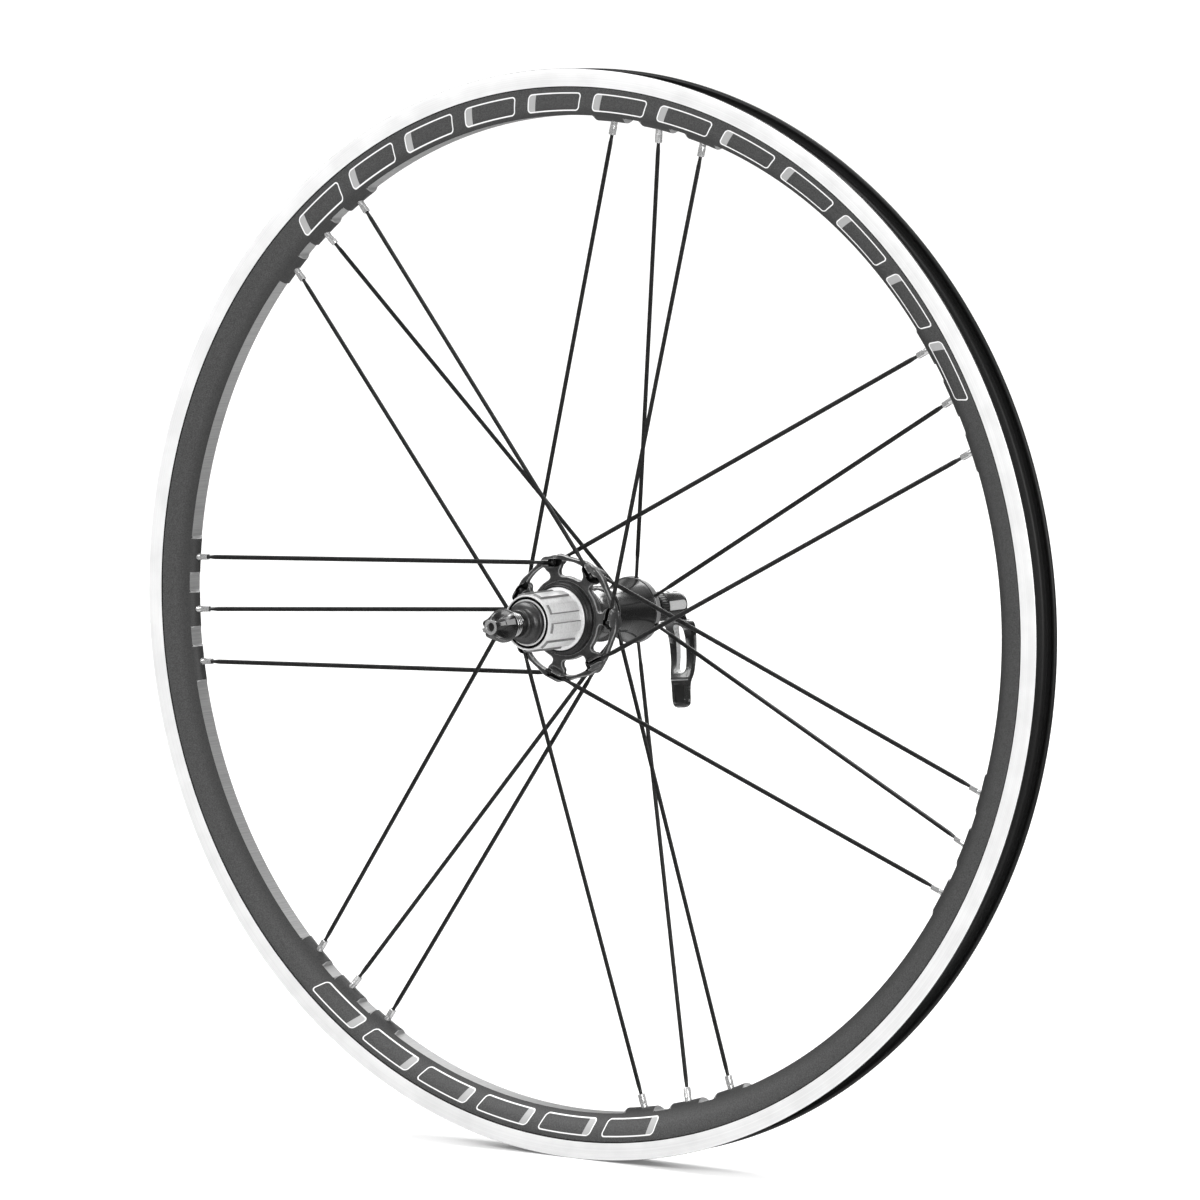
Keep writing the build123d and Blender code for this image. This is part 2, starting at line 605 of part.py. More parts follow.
def adjuster_pinch_screw():
    """Small socket screw across the split of the adjuster ring."""
    middle = sum(LEFT_RING_Y) / 2
    shank = cross_cylinder(1.25, -6.6, 4.6, middle, 10.9)
    head = cross_cylinder(2.0, 4.45, 6.4, middle, 10.9)
    socket = flat_outline([(0.75 * cos(radians(60 * k)), 0.75 * sin(radians(60 * k))) for k in range(6)],
                          -0.6, 0.6)
    socket = Pos(6.2, middle, 10.9) * (Rot(0, 0, 90) * socket)
    return shank + head - socket


# ---- freehub ----

def freehub_body():
    """Splined sleeve with the pawl carrier at its inner end."""
    bore = FREEHUB_BEARING_RADIUS + FIT
    groove_end = FREEHUB_MOUTH_Y + LOCKRING_THREAD_DEPTH
    mouth = FREEHUB_MOUTH_Y
    bearing_end = FREEHUB_BEARING_YS[1] + FREEHUB_BEARING_WIDTH / 2 + FIT
    root = FREEHUB_ROOT_RADIUS
    body = turned(
        (bore, mouth + 0.3), (bore + 0.3, mouth), (SLEEVE_RADIUS, mouth), (SLEEVE_RADIUS, groove_end),
        (LOCKRING_THREAD_RADIUS, groove_end), (LOCKRING_THREAD_RADIUS, mouth), (root - 0.3, mouth),
        (root, mouth + 0.3), (root, SPLINE_END_Y), (COLLAR_RADIUS, SPLINE_END_Y + 1.2),
        (COLLAR_RADIUS, COLLAR_END_Y), (CARRIER_RADIUS, COLLAR_END_Y), (CARRIER_RADIUS, CARRIER_END_Y),
        (CARRIER_BORE_RADIUS, CARRIER_END_Y), (CARRIER_BORE_RADIUS, bearing_end), (bore, bearing_end),
    )
    for index in range(SPLINE_COUNT):
        width = NARROW_SPLINE_WIDTH if index == 4 else SPLINE_WIDTH
        angle = SPLINE_FIRST_ANGLE - index * SPLINE_PITCH
        body += sector(root - 0.5, SPLINE_RADIUS, width / 2, SPLINE_START_Y, SPLINE_END_Y + 0.3, angle)
    for index in range(PAWL_COUNT):
        body -= about_axle(pawl_pocket(), index * 360 / PAWL_COUNT)
    spring_y = sum(PAWL_YS) / 2
    body -= ring(PAWL_SPRING_RADIUS - 0.5, CARRIER_RADIUS + 1, spring_y - 0.5, spring_y + 0.5)
    return body


def pawl_outline(grow, reach):
    """Pawl side view in its own axes: pivot at the origin, tip towards -Z, outside towards +X."""
    tip_in = -PAWL_THICKNESS - grow
    return [(PAWL_BARREL_RADIUS - 0.1 + grow, 0), (grow, -reach), (tip_in, 0.3 - reach),
            (-PAWL_BARREL_RADIUS - grow, 0)]


def pawl_shape(grow, reach, y_start, y_end):
    """Pawl solid, grown by a gap when it cuts its own pocket."""
    barrel = Cylinder(PAWL_BARREL_RADIUS + grow, y_end - y_start)
    barrel = Pos(0, (y_start + y_end) / 2, 0) * (Rot(90, 0, 0) * barrel)
    return barrel + flat_outline(pawl_outline(grow, reach), y_start, y_end)


def at_pawl_pivot(shape):
    """Put a pawl shape on its pivot, folded down."""
    return Pos(PAWL_PIVOT_RADIUS, 0, 0) * (Rot(0, -PAWL_REST_ANGLE, 0) * shape)


def pawl_pocket():
    """Pocket that one pawl folds into."""
    start, end = PAWL_YS
    pocket = pawl_shape(0.08, PAWL_LENGTH + 0.4, start - 0.05, end + 0.05)
    reach = -PAWL_LENGTH - 0.4
    above = flat_outline([(0.2, 0), (5, 0), (5, reach), (-0.5, reach)], start - 0.05, end + 0.05)
    return at_pawl_pivot(pocket + above)


def pawl(index):
    """One pawl, slotted in the middle for the spring wire."""
    start, end = PAWL_YS
    middle = (start + end) / 2
    body = pawl_shape(0, PAWL_LENGTH, start, end)
    slot = Pos(0, middle, 0) * Box(12, PAWL_SLOT, 20)
    neck = Pos(0, middle, 0) * (Rot(90, 0, 0) * Cylinder(PAWL_NECK_RADIUS, PAWL_SLOT))
    body = body - slot + neck
    return about_axle(at_pawl_pivot(body), index * 360 / PAWL_COUNT)


def pawl_spring():
    """Open wire ring that lies in the pawl carrier's groove and under the pawls' tips."""
    y = sum(PAWL_YS) / 2
    hoop = torus_groove(PAWL_SPRING_RADIUS, y, PAWL_SPRING_WIRE)
    opening = sector(PAWL_SPRING_RADIUS - 2, PAWL_SPRING_RADIUS + 2, PAWL_SPRING_GAP_ANGLE / 2,
                     y - 1, y + 1, 60)
    return hoop - opening


def ratchet_ring():
    """Ring with 36 inner saw teeth."""
    start, end = RATCHET_YS
    pitch = 360 / RATCHET_TEETH
    points = []
    for tooth in range(RATCHET_TEETH):
        for radius, angle in ((RATCHET_TIP_RADIUS, RATCHET_TIP_ANGLE),
                              (RATCHET_ROOT_RADIUS, RATCHET_ROOT_ANGLE)):
            turn = -radians(angle + tooth * pitch)
            points.append((radius * cos(turn), radius * sin(turn)))
    blank = ring(1, RATCHET_OUTER_RADIUS, start, end)
    return blank - flat_outline(points, start - 1, end + 1)


def freehub_seal():
    """Rubber seal with two round ribs."""
    start, end = SEAL_YS
    inner = COLLAR_RADIUS + FIT
    outer = SEAL_RADIUS
    return turned(
        (inner, start), (19.6, start), (20.2, start + 0.6), (20.6, start + 1.0), (20.2, start + 1.4),
        (20.8, start + 1.9), (outer, start + 2.3), (20.8, start + 2.7), (outer, start + 3.1),
        (outer, end), (inner, end),
    )


def freehub_races(inner_radius, outer_radius):
    """Inner or outer rings of the two freehub bearings."""
    races = []
    for y in FREEHUB_BEARING_YS:
        half = FREEHUB_BEARING_WIDTH / 2
        race = ring(inner_radius, outer_radius, y - half, y + half)
        races.append(race - torus_groove(FREEHUB_BALL_PITCH_RADIUS, y, FREEHUB_GROOVE_RADIUS))
    return races


def freehub_bearing_balls():
    """Both rows of freehub balls."""
    balls = []
    for y in FREEHUB_BEARING_YS:
        balls += ball_ring(y, FREEHUB_BALL_PITCH_RADIUS, FREEHUB_BALL_RADIUS, FREEHUB_BALL_COUNT)
    return balls


def freehub_bearing_spacer():
    """Tube that keeps the two inner rings apart."""
    half = FREEHUB_BEARING_WIDTH / 2
    start = FREEHUB_BEARING_YS[0] + half + 0.05
    end = FREEHUB_BEARING_YS[1] - half - 0.05
    return ring(AXLE_FREEHUB_RADIUS + FIT, 8.6, start, end)


# ---- skewer ----

def skewer_rod():
    """Rod with an eye that the cam turns in; the eye's hole is slotted along Z."""
    cam_y = PIVOT_Y + CAM_OFFSET
    neck_y = cam_y - 5.6
    rod_length = neck_y - ROD_END_Y
    rod = Pos(0, ROD_END_Y + rod_length / 2, 0) * (Rot(90, 0, 0) * Cylinder(ROD_RADIUS, rod_length))
    rod += Pos(0, neck_y + 0.8, 0) * Box(2 * EYE_HALF_THICKNESS, 2.4, 4.6)
    hole_half_y = CAM_RADIUS + CAM_CLEARANCE + 0.22 * CAM_OFFSET
    hole_half_z = CAM_RADIUS + CAM_OFFSET + 2 * CAM_CLEARANCE
    eye = Pos(0, cam_y, 0) * Box(2 * EYE_HALF_THICKNESS, 2 * hole_half_y + 2.8, 2 * hole_half_z + 2.2)
    eye = eye & cross_cylinder(hole_half_z + 1.25, -5, 5, cam_y)
    slot = Box(10, 2 * hole_half_y, 2 * (hole_half_z - hole_half_y))
    hole = Pos(0, cam_y, 0) * slot
    for side in (-1, 1):
        hole += cross_cylinder(hole_half_y, -5, 5, cam_y, side * (hole_half_z - hole_half_y))
    return rod + eye - hole


def cam_shaft():
    """Cross shaft: two journals in the housing with an eccentric between them."""
    large = cross_cylinder(CAM_LARGE_JOURNAL, -8.2, -EYE_HALF_THICKNESS - 0.05, PIVOT_Y)
    eccentric = cross_cylinder(CAM_RADIUS, -EYE_HALF_THICKNESS - 0.5, EYE_HALF_THICKNESS + 0.05,
                               PIVOT_Y + CAM_OFFSET)
    small = cross_cylinder(CAM_SMALL_JOURNAL, EYE_HALF_THICKNESS, 6.8, PIVOT_Y)
    socket = [(1.5 * cos(radians(60 * k)), 1.5 * sin(radians(60 * k))) for k in range(6)]
    hexagon = Pos(-7.2, PIVOT_Y, 0) * (Rot(0, 0, 90) * flat_outline(socket, -2, 2))
    return large + eccentric + small - hexagon


def qr_cap_ring():
    """Knurled ring that bites on the frame, with a toothed face."""
    face = CAP_FACE_Y
    end = CAP_RING_END_Y
    body = turned((CAP_RING_BORE, face), (CAP_RING_RADIUS - 0.3, face), (CAP_RING_RADIUS, face + 0.3),
                  (CAP_RING_RADIUS, end - 0.3), (CAP_RING_RADIUS - 0.3, end), (CAP_RING_BORE, end))
    notch = Pos(CAP_RING_RADIUS - 1, face, 0) * Box(4, 0.7, 0.8)
    groove = Pos(CAP_RING_RADIUS + 0.1, (face + end) / 2, 0) * Box(0.7, end - face - 2.4, 0.8)
    for index in range(CAP_TEETH):
        angle = index * 360 / CAP_TEETH
        body -= about_axle(notch, angle)
        body -= about_axle(groove, angle)
    return body


def qr_cam_housing():
    """Polished barrel that carries the cam shaft, slotted for the lever's head."""
    spigot_start = CAP_FACE_Y + 0.8
    dome_start = HOUSING_DOME_Y
    end = HOUSING_END_Y
    outline = [(HOUSING_RECESS_RADIUS, spigot_start), (HOUSING_SPIGOT_RADIUS, spigot_start),
               (HOUSING_SPIGOT_RADIUS, CAP_RING_END_Y + 0.05), (HOUSING_RADIUS - 0.4, CAP_RING_END_Y + 0.05),
               (HOUSING_RADIUS, CAP_RING_END_Y + 0.5), (HOUSING_RADIUS, dome_start)]
    for step in range(1, 7):
        turn = radians(step * 15)
        radius = HOUSING_TIP_RADIUS + (HOUSING_RADIUS - HOUSING_TIP_RADIUS) * cos(turn)
        outline.append((radius, dome_start + (end - dome_start) * sin(turn)))
    outline += [(0, end), (0, HOUSING_RECESS_END_Y), (HOUSING_RECESS_RADIUS, HOUSING_RECESS_END_Y)]
    body = turned(*outline)
    rod_hole = Cylinder(ROD_RADIUS + 0.1, 20)
    body -= Pos(0, HOUSING_RECESS_END_Y, 0) * (Rot(90, 0, 0) * rod_hole)
    half = HOUSING_SLOT_HALF
    body -= cross_cylinder(LEVER_HEAD_RADIUS + 0.3, -half, half, PIVOT_Y)
    for start, side in ((HOUSING_BOTTOM_SLOT_Y, -1), (HOUSING_TOP_SLOT_Y, 1)):
        slot = Box(2 * half, 30, 15, align=(Align.CENTER, Align.MIN, Align.CENTER))
        body -= Pos(0, start, side * 7.5) * slot
    body -= cross_cylinder(CAM_LARGE_JOURNAL + CAM_CLEARANCE, -12, 0, PIVOT_Y)
    body -= cross_cylinder(CAM_SMALL_JOURNAL + CAM_CLEARANCE, 0, 7.0, PIVOT_Y)
    return body


def qr_lever():
    """Curved lever: slotted head on the cam shaft, two arms round a long opening, end pad."""
    head = LEVER_HEAD_HALF
    side = make_face(Polyline(*LEVER_SIDE_OUTLINE, close=True))
    slab = Rot(0, 90, 0) * (Rot(0, 0, 90) * extrude(side, 20))
    slab = Pos(-10, 0, 0) * slab
    left_edge = [(-x, z) for x, z in reversed(LEVER_EDGE)]
    front = make_face(Polyline((-head, 2.0), (head, 2.0), *LEVER_EDGE, *left_edge, close=True))
    front_prism = Pos(0, 110, 0) * (Rot(90, 0, 0) * extrude(front, 60))
    arms = slab & front_prism
    top, bottom = LEVER_SLOT_ZS
    opening = Pos(0, 95, (top + bottom) / 2) * Box(2 * LEVER_SLOT_HALF, 40, top - bottom)
    for z in LEVER_SLOT_ZS:
        opening += Pos(0, 95, z) * (Rot(90, 0, 0) * Cylinder(LEVER_SLOT_HALF, 40))
    arms -= opening
    lever = arms + cross_cylinder(LEVER_HEAD_RADIUS, -head, head, PIVOT_Y)
    lever -= cross_cylinder(LEVER_HEAD_RADIUS - 0.6, -LEVER_SLIT_HALF, LEVER_SLIT_HALF, PIVOT_Y)
    rod_side = Pos(0, PIVOT_Y - 10, 0) * Box(2 * LEVER_SLIT_HALF, 20, 13)
    lever -= rod_side & cross_cylinder(12, -5, 5, PIVOT_Y)
    top_side = Pos(0, PIVOT_Y, 6) * Box(2 * LEVER_SLIT_HALF, 30, 12)
    lever -= top_side
    open_side = Pos(0, PIVOT_Y + 8, -1) * Box(2 * LEVER_SLIT_HALF, 16, 3.6)
    lever -= open_side
    lever -= cross_cylinder(CAM_LARGE_JOURNAL + 0.02, -6, 0, PIVOT_Y)
    lever -= cross_cylinder(CAM_SMALL_JOURNAL + 0.02, 0, 6, PIVOT_Y)
    return lever


def coil_spring(ys, radii, wire):
    """Conical wire spring about the axle, from its first to its second y and radius."""
    y_start, y_end = ys
    height = abs(y_end - y_start)
    slope = degrees(atan2(radii[1] - radii[0], height))
    path = Helix(pitch=height / SPRING_TURNS, height=height, radius=radii[0], cone_angle=slope)
    section = Plane(origin=path @ 0, z_dir=path % 0) * Circle(wire)
    coil = sweep(section, path=path)
    towards = -90 if y_end > y_start else 90
    return Pos(0, y_start, 0) * (Rot(towards, 0, 0) * coil)


def qr_nut():
    """Fluted cone nut with two small raised facets."""
    inner = INSERT_RADIUS + FIT
    body = turned(
        (inner, NUT_INNER_Y - 1.2), (8.0, NUT_INNER_Y - 1.2), (8.4, NUT_INNER_Y),
        (NUT_RADIUS - 0.5, NUT_INNER_Y), (NUT_RADIUS, NUT_INNER_Y - 0.6),
        (NUT_RADIUS, NUT_INNER_Y - 2.4), (9.2, NUT_INNER_Y - 4.6), (8.0, NUT_INNER_Y - 7.6),
        (6.4, NUT_INNER_Y - 10.6), (NUT_TIP_RADIUS + 0.6, NUT_OUTER_Y + 1.6),
        (NUT_TIP_RADIUS, NUT_OUTER_Y + 0.4), (NUT_TIP_RADIUS - 0.4, NUT_OUTER_Y),
        (NUT_HOLE_RADIUS, NUT_OUTER_Y), (NUT_HOLE_RADIUS, INSERT_YS[0] - 0.05),
        (inner, INSERT_YS[0] - 0.05),
    )
    cutter = Rot(90, 0, 0) * Cylinder(NUT_FLUTE_RADIUS, NUT_FLUTE_LENGTH)
    flute = Pos(*NUT_FLUTE_CENTRE, 0) * (Rot(0, 0, NUT_FLUTE_TILT) * cutter)
    for index in range(NUT_FLUTES):
        body -= about_axle(flute, NUT_FLUTE_ANGLE + index * 360 / NUT_FLUTES)
    facet = Pos(*NUT_FACET_CENTRE, 0) * (Rot(0, 0, NUT_FACET_TILT) * Box(*NUT_FACET_SIZE))
    body += about_axle(facet, NUT_FACET_ANGLE) + about_axle(facet, NUT_FACET_ANGLE + 180)
    return body


def nut_insert():
    """Threaded brass sleeve, modelled as a plain bore with thread clearance."""
    start, end = INSERT_YS
    return ring(ROD_RADIUS + THREAD_GAP, INSERT_RADIUS, start, end)


def write(name, shapes):
    """Save one node; a list is saved as a group of separate solids."""
    node = shapes
    if isinstance(shapes, list):
        node = Compound(children=[Solid(shape.solid().wrapped) for shape in shapes])
    node.label = name
    export_step(node, os.path.join("parts", name + ".step"))


def main():
    """Build and save every node."""
    os.makedirs("parts", exist_ok=True)
    front, back, left = spoke_ends()
    write("rim", rim())
    write("hub_shell", hub_shell())
    write("drive_front_spokes", spoke_set(front))
    write("drive_back_spokes", spoke_set(back))
    write("left_spokes", spoke_set(left))
    write("spoke_nipples", nipples())
    write("drive_bearing_cup", cup(DRIVE_BEARING_Y))
    write("left_bearing_cup", cup(LEFT_BEARING_Y))
    write("left_dust_seal", left_dust_seal())
    write("ratchet_ring", ratchet_ring())
    write("drive_bearing_balls", ball_ring(DRIVE_BEARING_Y, BALL_PITCH_RADIUS, BALL_RADIUS, BALL_COUNT))
    write("drive_ball_cage", ball_cage(DRIVE_BEARING_Y))
    write("left_bearing_balls", ball_ring(LEFT_BEARING_Y, BALL_PITCH_RADIUS, BALL_RADIUS, BALL_COUNT))
    write("left_ball_cage", ball_cage(LEFT_BEARING_Y))
    write("axle_shaft", axle_shaft())
    write("drive_cone", cone(DRIVE_BEARING_Y))
    write("left_cone", cone(LEFT_BEARING_Y))
    write("drive_end_cap", drive_end_cap())
    write("left_end_cap", left_end_cap())
    write("left_adjuster_ring", left_adjuster_ring())
    write("adjuster_pinch_screw", adjuster_pinch_screw())
    write("freehub_bearing_spacer", freehub_bearing_spacer())
    write("freehub_inner_races", freehub_races(AXLE_FREEHUB_RADIUS + FIT, INNER_RACE_OUTER_RADIUS))
    write("freehub_bearing_balls", freehub_bearing_balls())
    write("freehub_outer_races", freehub_races(OUTER_RACE_INNER_RADIUS, FREEHUB_BEARING_RADIUS))
    write("freehub_body", freehub_body())
    write("freehub_seal", freehub_seal())
    write("pawl_spring", pawl_spring())
    for index in range(PAWL_COUNT):
        write(f"pawl_{index + 1}", pawl(index))
    write("skewer_rod", about_axle(skewer_rod(), SKEWER_TURN))
    write("cam_shaft", about_axle(cam_shaft(), SKEWER_TURN))
    write("qr_cap_ring", about_axle(qr_cap_ring(), SKEWER_TURN))
    write("qr_cam_housing", about_axle(qr_cam_housing(), SKEWER_TURN))
    write("qr_lever", about_axle(qr_lever(), SKEWER_TURN))
    write("lever_spring", coil_spring(LEVER_SPRING_YS, LEVER_SPRING_RADII, LEVER_SPRING_WIRE))
    write("nut_spring", coil_spring(NUT_SPRING_YS, NUT_SPRING_RADII, NUT_SPRING_WIRE))
    write("qr_nut", qr_nut())
    write("nut_insert", nut_insert())


main()
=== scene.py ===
"""Looks of the bicycle rear wheel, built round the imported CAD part.

Pieces are laid out in millimetres and scaled to metres by MM. The axle lies along Y, with the
splined drive side towards -Y, and angles run from +X towards +Z.
"""

import json
import math

import bmesh
import bpy
from mathutils import Matrix, Vector


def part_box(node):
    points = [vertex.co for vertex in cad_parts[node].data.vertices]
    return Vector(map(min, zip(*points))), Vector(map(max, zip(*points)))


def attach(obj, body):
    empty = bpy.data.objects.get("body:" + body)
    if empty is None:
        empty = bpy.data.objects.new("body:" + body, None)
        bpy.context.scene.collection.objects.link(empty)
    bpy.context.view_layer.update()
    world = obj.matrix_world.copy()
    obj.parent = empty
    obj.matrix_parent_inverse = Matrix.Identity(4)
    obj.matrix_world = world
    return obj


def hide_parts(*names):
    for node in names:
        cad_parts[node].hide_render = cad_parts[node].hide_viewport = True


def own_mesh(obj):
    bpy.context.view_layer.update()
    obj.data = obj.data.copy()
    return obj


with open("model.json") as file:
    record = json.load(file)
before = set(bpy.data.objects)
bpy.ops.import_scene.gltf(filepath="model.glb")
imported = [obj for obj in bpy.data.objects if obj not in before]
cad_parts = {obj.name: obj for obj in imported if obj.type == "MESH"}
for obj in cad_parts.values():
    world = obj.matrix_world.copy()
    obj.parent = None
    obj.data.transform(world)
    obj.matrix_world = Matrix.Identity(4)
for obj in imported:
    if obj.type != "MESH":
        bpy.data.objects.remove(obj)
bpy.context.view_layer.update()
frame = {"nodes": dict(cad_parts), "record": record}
MM = 0.001
MATERIAL_PLACES = 4
WELD_DISTANCE = 0.002 * MM


def measured(node, corner, axis):
    """One coordinate of a CAD node's box, in millimetres."""
    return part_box(node)[corner][axis] / MM


# ---- driving dimensions ----
GROUPS = 7
GROUP_PITCH = 360 / GROUPS
FIRST_GROUP = 130.75
SPOKE_SPREAD = 6.495
DRIVE_HEAD_LAG = 82.0
DRIVE_HEAD_RADIUS = 32.6
FRONT_SPOKE_Y = -21.0
BACK_SPOKE_Y = -15.0
LEFT_SPOKE_Y = 48.4
LEFT_HEAD_RADIUS = 15.75
NIPPLE_TIP_RADIUS = 279.8
NIPPLE_LENGTH = 16.2
BLADE_HALF_WIDTH = 1.35
BLADE_HALF_THICKNESS = 0.62

RIM_RADIUS = 317.0
RIM_HALF = measured("rim", 1, 1)
TRACK_INNER = 306.5
WELL_FLOOR = 305.4
LAND_CREST = 287.3
MILLED_FLOOR = 290.2
NOSE_HALF = 4.9
NOSE_POWER = 2.2
LAND_HALF_LENGTH = 9.9
LAND_SLOPE = 1.8
VALVE_ANGLE = 2.18
RIM_STATIONS = 400
SAME_STATION = 0.12
# First angle, last angle and number of bars in each row of them on the rim's walls.
BAR_ROWS = ((26.0, 133.0, 12), (-130.0, -78.0, 6))

BOSS_RADIUS = 23.5
SPIDER_YS = (-19.7, -16.3)
CUTTER_YS = (-24, -12)
SPIDER_BORE = 21.5
LUG_RADIUS = 3.5
POCKET_RADIUS = 2.45
TUNNEL_RADIUS = 1.3
LEFT_HOLE_RADIUS = 1.4
CASTING_VOXEL = 0.36
BAND_RADIUS = 37.0
FREEHUB_MOUTH = measured("freehub_body", 0, 1)
FREEHUB_ROOT = 15.95
SPLINE_RADIUS = 17.25
FIRST_SPLINE_ANGLE = 30
SPLINE_PITCH = 40
SPLINE_HALVES = [10.0, 10.0, 10.0, 10.0, 7.0, 10.0, 10.0, 10.0, 10.0]
PIVOT_Y = 88.6
BARREL_LARGE_BORE = 4.15
BARREL_SMALL_BORE = 1.95
BARREL_DOME_RADIUS = 2.6
BARREL_DOME_HEIGHT = 6.5
LEVER_HEAD_RADIUS = 8.1
LEVER_HEAD_HALF = 4.05
LEVER_SLIT_RADIUS = 7.5
LEVER_LARGE_BORE = 4.12
LEVER_SMALL_BORE = 1.92
PAST_LEVER = (80, 110)
NUT_FINS = 5
NUT_FIN_ANGLE = 54
NUT_THREAD_RADIUS = 4.25
NUT_HOLE_RADIUS = 2.62
NUT_FACET_ANGLES = (18, 198)
JOINTS = frame["record"]["behaviour"]["joints"]
LEVER_AXIS = next(joint["axis"] for joint in JOINTS if joint["name"] == "lever_cam")
SKEWER_TURN = math.atan2(LEVER_AXIS[2], LEVER_AXIS[0])
BARREL_RADIUS = measured("qr_cam_housing", 1, 0)
BARREL_START = measured("qr_cap_ring", 1, 1)
NUT_TIP = measured("qr_nut", 0, 1)

# Degrees and metres; the lens is in millimetres.
CAMERA_AZIMUTH = 35.82
CAMERA_ELEVATION = 5.12
CAMERA_DISTANCE = 4.094
CAMERA_LENS = 211.45
CAMERA_SHIFT = (0.0136, 0.0131)


# ---- geometry helpers ----

def polar(radius, angle, y=0.0):
    turn = math.radians(angle)
    return Vector((radius * math.cos(turn), y, radius * math.sin(turn)))


def flat_polar(radius, angle):
    """Point in the (x, z) plane."""
    point = polar(radius, angle)
    return point.x, point.z


def mix(a, b, t):
    return a + (b - a) * t


def arc(a, b, radius, start, end, steps):
    """Points of an arc about (a, b), from start to end in degrees."""
    turns = [math.radians(mix(start, end, k / steps)) for k in range(steps + 1)]
    return [(a + radius * math.cos(turn), b + radius * math.sin(turn)) for turn in turns]


def apart(a, b):
    """Smallest angle between two directions, in degrees."""
    return abs((a - b + 180) % 360 - 180)


def ease(t):
    t = min(1.0, max(0.0, t))
    return t * t * (3 - 2 * t)


def soften(points, size=0.3, steps=3, closed=True):
    """Outline with its corners cut back by size, or by a point's own third value, and rounded."""
    out = []
    count = len(points)
    for i, point in enumerate(points):
        here = Vector(point[:2])
        if not closed and i in (0, count - 1):
            out.append(tuple(here))
            continue
        before = Vector(points[i - 1][:2]) - here
        after = Vector(points[(i + 1) % count][:2]) - here
        cut = point[2] if len(point) > 2 else size
        start = here + before.normalized() * min(cut, before.length * 0.45)
        end = here + after.normalized() * min(cut, after.length * 0.45)
        for k in range(steps + 1):
            t = k / steps
            out.append(tuple(start * (1 - t) ** 2 + here * 2 * t * (1 - t) + end * t * t))
    return out


def link_mesh(name, mesh):
    """Object with empty material places, which booleans need to keep each face's material number."""
    for _ in range(MATERIAL_PLACES - len(mesh.materials)):
        mesh.materials.append(None)
    obj = bpy.data.objects.new(name, mesh)
    bpy.context.scene.collection.objects.link(obj)
    return obj


def new_object(name, verts, faces, slots=None):
    """Mesh object from points in millimetres; slots gives each face's material index."""
    mesh = bpy.data.meshes.new(name)
    mesh.from_pydata([tuple(Vector(v) * MM) for v in verts], [], faces)
    if slots:
        mesh.polygons.foreach_set("material_index", slots)
    bm = bmesh.new()
    bm.from_mesh(mesh)
    bmesh.ops.remove_doubles(bm, verts=bm.verts, dist=1e-7)
    bmesh.ops.recalc_face_normals(bm, faces=bm.faces)
    bm.to_mesh(mesh)
    bm.free()
    return link_mesh(name, mesh)


def ring_faces(rows, size):
    """Quads of a closed ring of closed outlines."""
    faces = []
    for i in range(rows):
        j = (i + 1) % rows
        for k in range(size):
            m = (k + 1) % size
            faces.append((i * size + k, i * size + m, j * size + m, j * size + k))
    return faces


def stacked_faces(rows, sides):
    """Quads between stacked loops, with the first and last loops capped."""
    last = (rows - 1) * sides
    faces = [tuple(range(sides))[::-1], tuple(last + k for k in range(sides))]
    for i in range(rows - 1):
        for k in range(sides):
            m = (k + 1) % sides
            faces.append((i * sides + k, i * sides + m, (i + 1) * sides + m, (i + 1) * sides + k))
    return faces


def ring_object(name, section, angles, slot=None):
    """Ring about the axle: section(angle) gives equally many (radius, y) points at every angle."""
    rows = [section(angle) for angle in angles]
    size = len(rows[0])
    verts = [polar(radius, angle, y) for angle, row in zip(angles, rows) for radius, y in row]
    slots = [slot(angle, k) for angle in angles for k in range(size)] if slot else None
    return new_object(name, verts, ring_faces(len(angles), size), slots)


def even_angles(count):
    return [360 * k / count for k in range(count)]


def lathe(name, points, size=0.3, segments=128, steps=3):
    """Solid of revolution about the axle with rounded corners."""
    outline = soften(points, size, steps)
    return ring_object(name, lambda angle: outline, even_angles(segments))


def prism(name, outline, start, end, place, slot=0):
    """Closed prism; place(a, b, depth) turns outline points into space."""
    count = len(outline)
    verts = [place(a, b, start) for a, b in outline] + [place(a, b, end) for a, b in outline]
    faces = [tuple(range(count))[::-1], tuple(range(count, 2 * count))]
    for k in range(count):
        m = (k + 1) % count
        faces.append((k, m, count + m, count + k))
    return new_object(name, verts, faces, [slot] * len(faces))


def rod_between(name, start, end, radius, sides=32, slot=0):
    """Closed cylinder from one point to another."""
    along = (end - start).normalized()
    across = along.orthogonal().normalized()
    third = along.cross(across)
    circle = arc(0, 0, radius, 0, 360, sides)[:-1]
    length = (end - start).length
    return prism(name, circle, 0, length, lambda a, b, d: start + across * a + third * b + along * d, slot)


def capsule(name, start, end, radius, sides=32, rings=6):
    """Rod with half-round ends that reach start and end."""
    along = (end - start).normalized()
    across = along.orthogonal().normalized()
    third = along.cross(across)
    stations = []
    for k in range(1, rings + 1):
        turn = math.pi / 2 * k / rings
        stations.append((start + along * radius * (1 - math.cos(turn)), radius * math.sin(turn)))
    stations += [(end - (centre - start), size) for centre, size in reversed(stations)]
    turns = [2 * math.pi * k / sides for k in range(sides)]
    verts = [centre + (across * math.cos(turn) + third * math.sin(turn)) * size
             for centre, size in stations for turn in turns]
    return new_object(name, verts, stacked_faces(len(stations), sides))


def settle(obj):
    """Apply an object's modifiers to its mesh."""
    bpy.context.view_layer.update()
    graph = bpy.context.evaluated_depsgraph_get()
    mesh = bpy.data.meshes.new_from_object(obj.evaluated_get(graph))
    obj.modifiers.clear()
    obj.data = mesh
    return obj


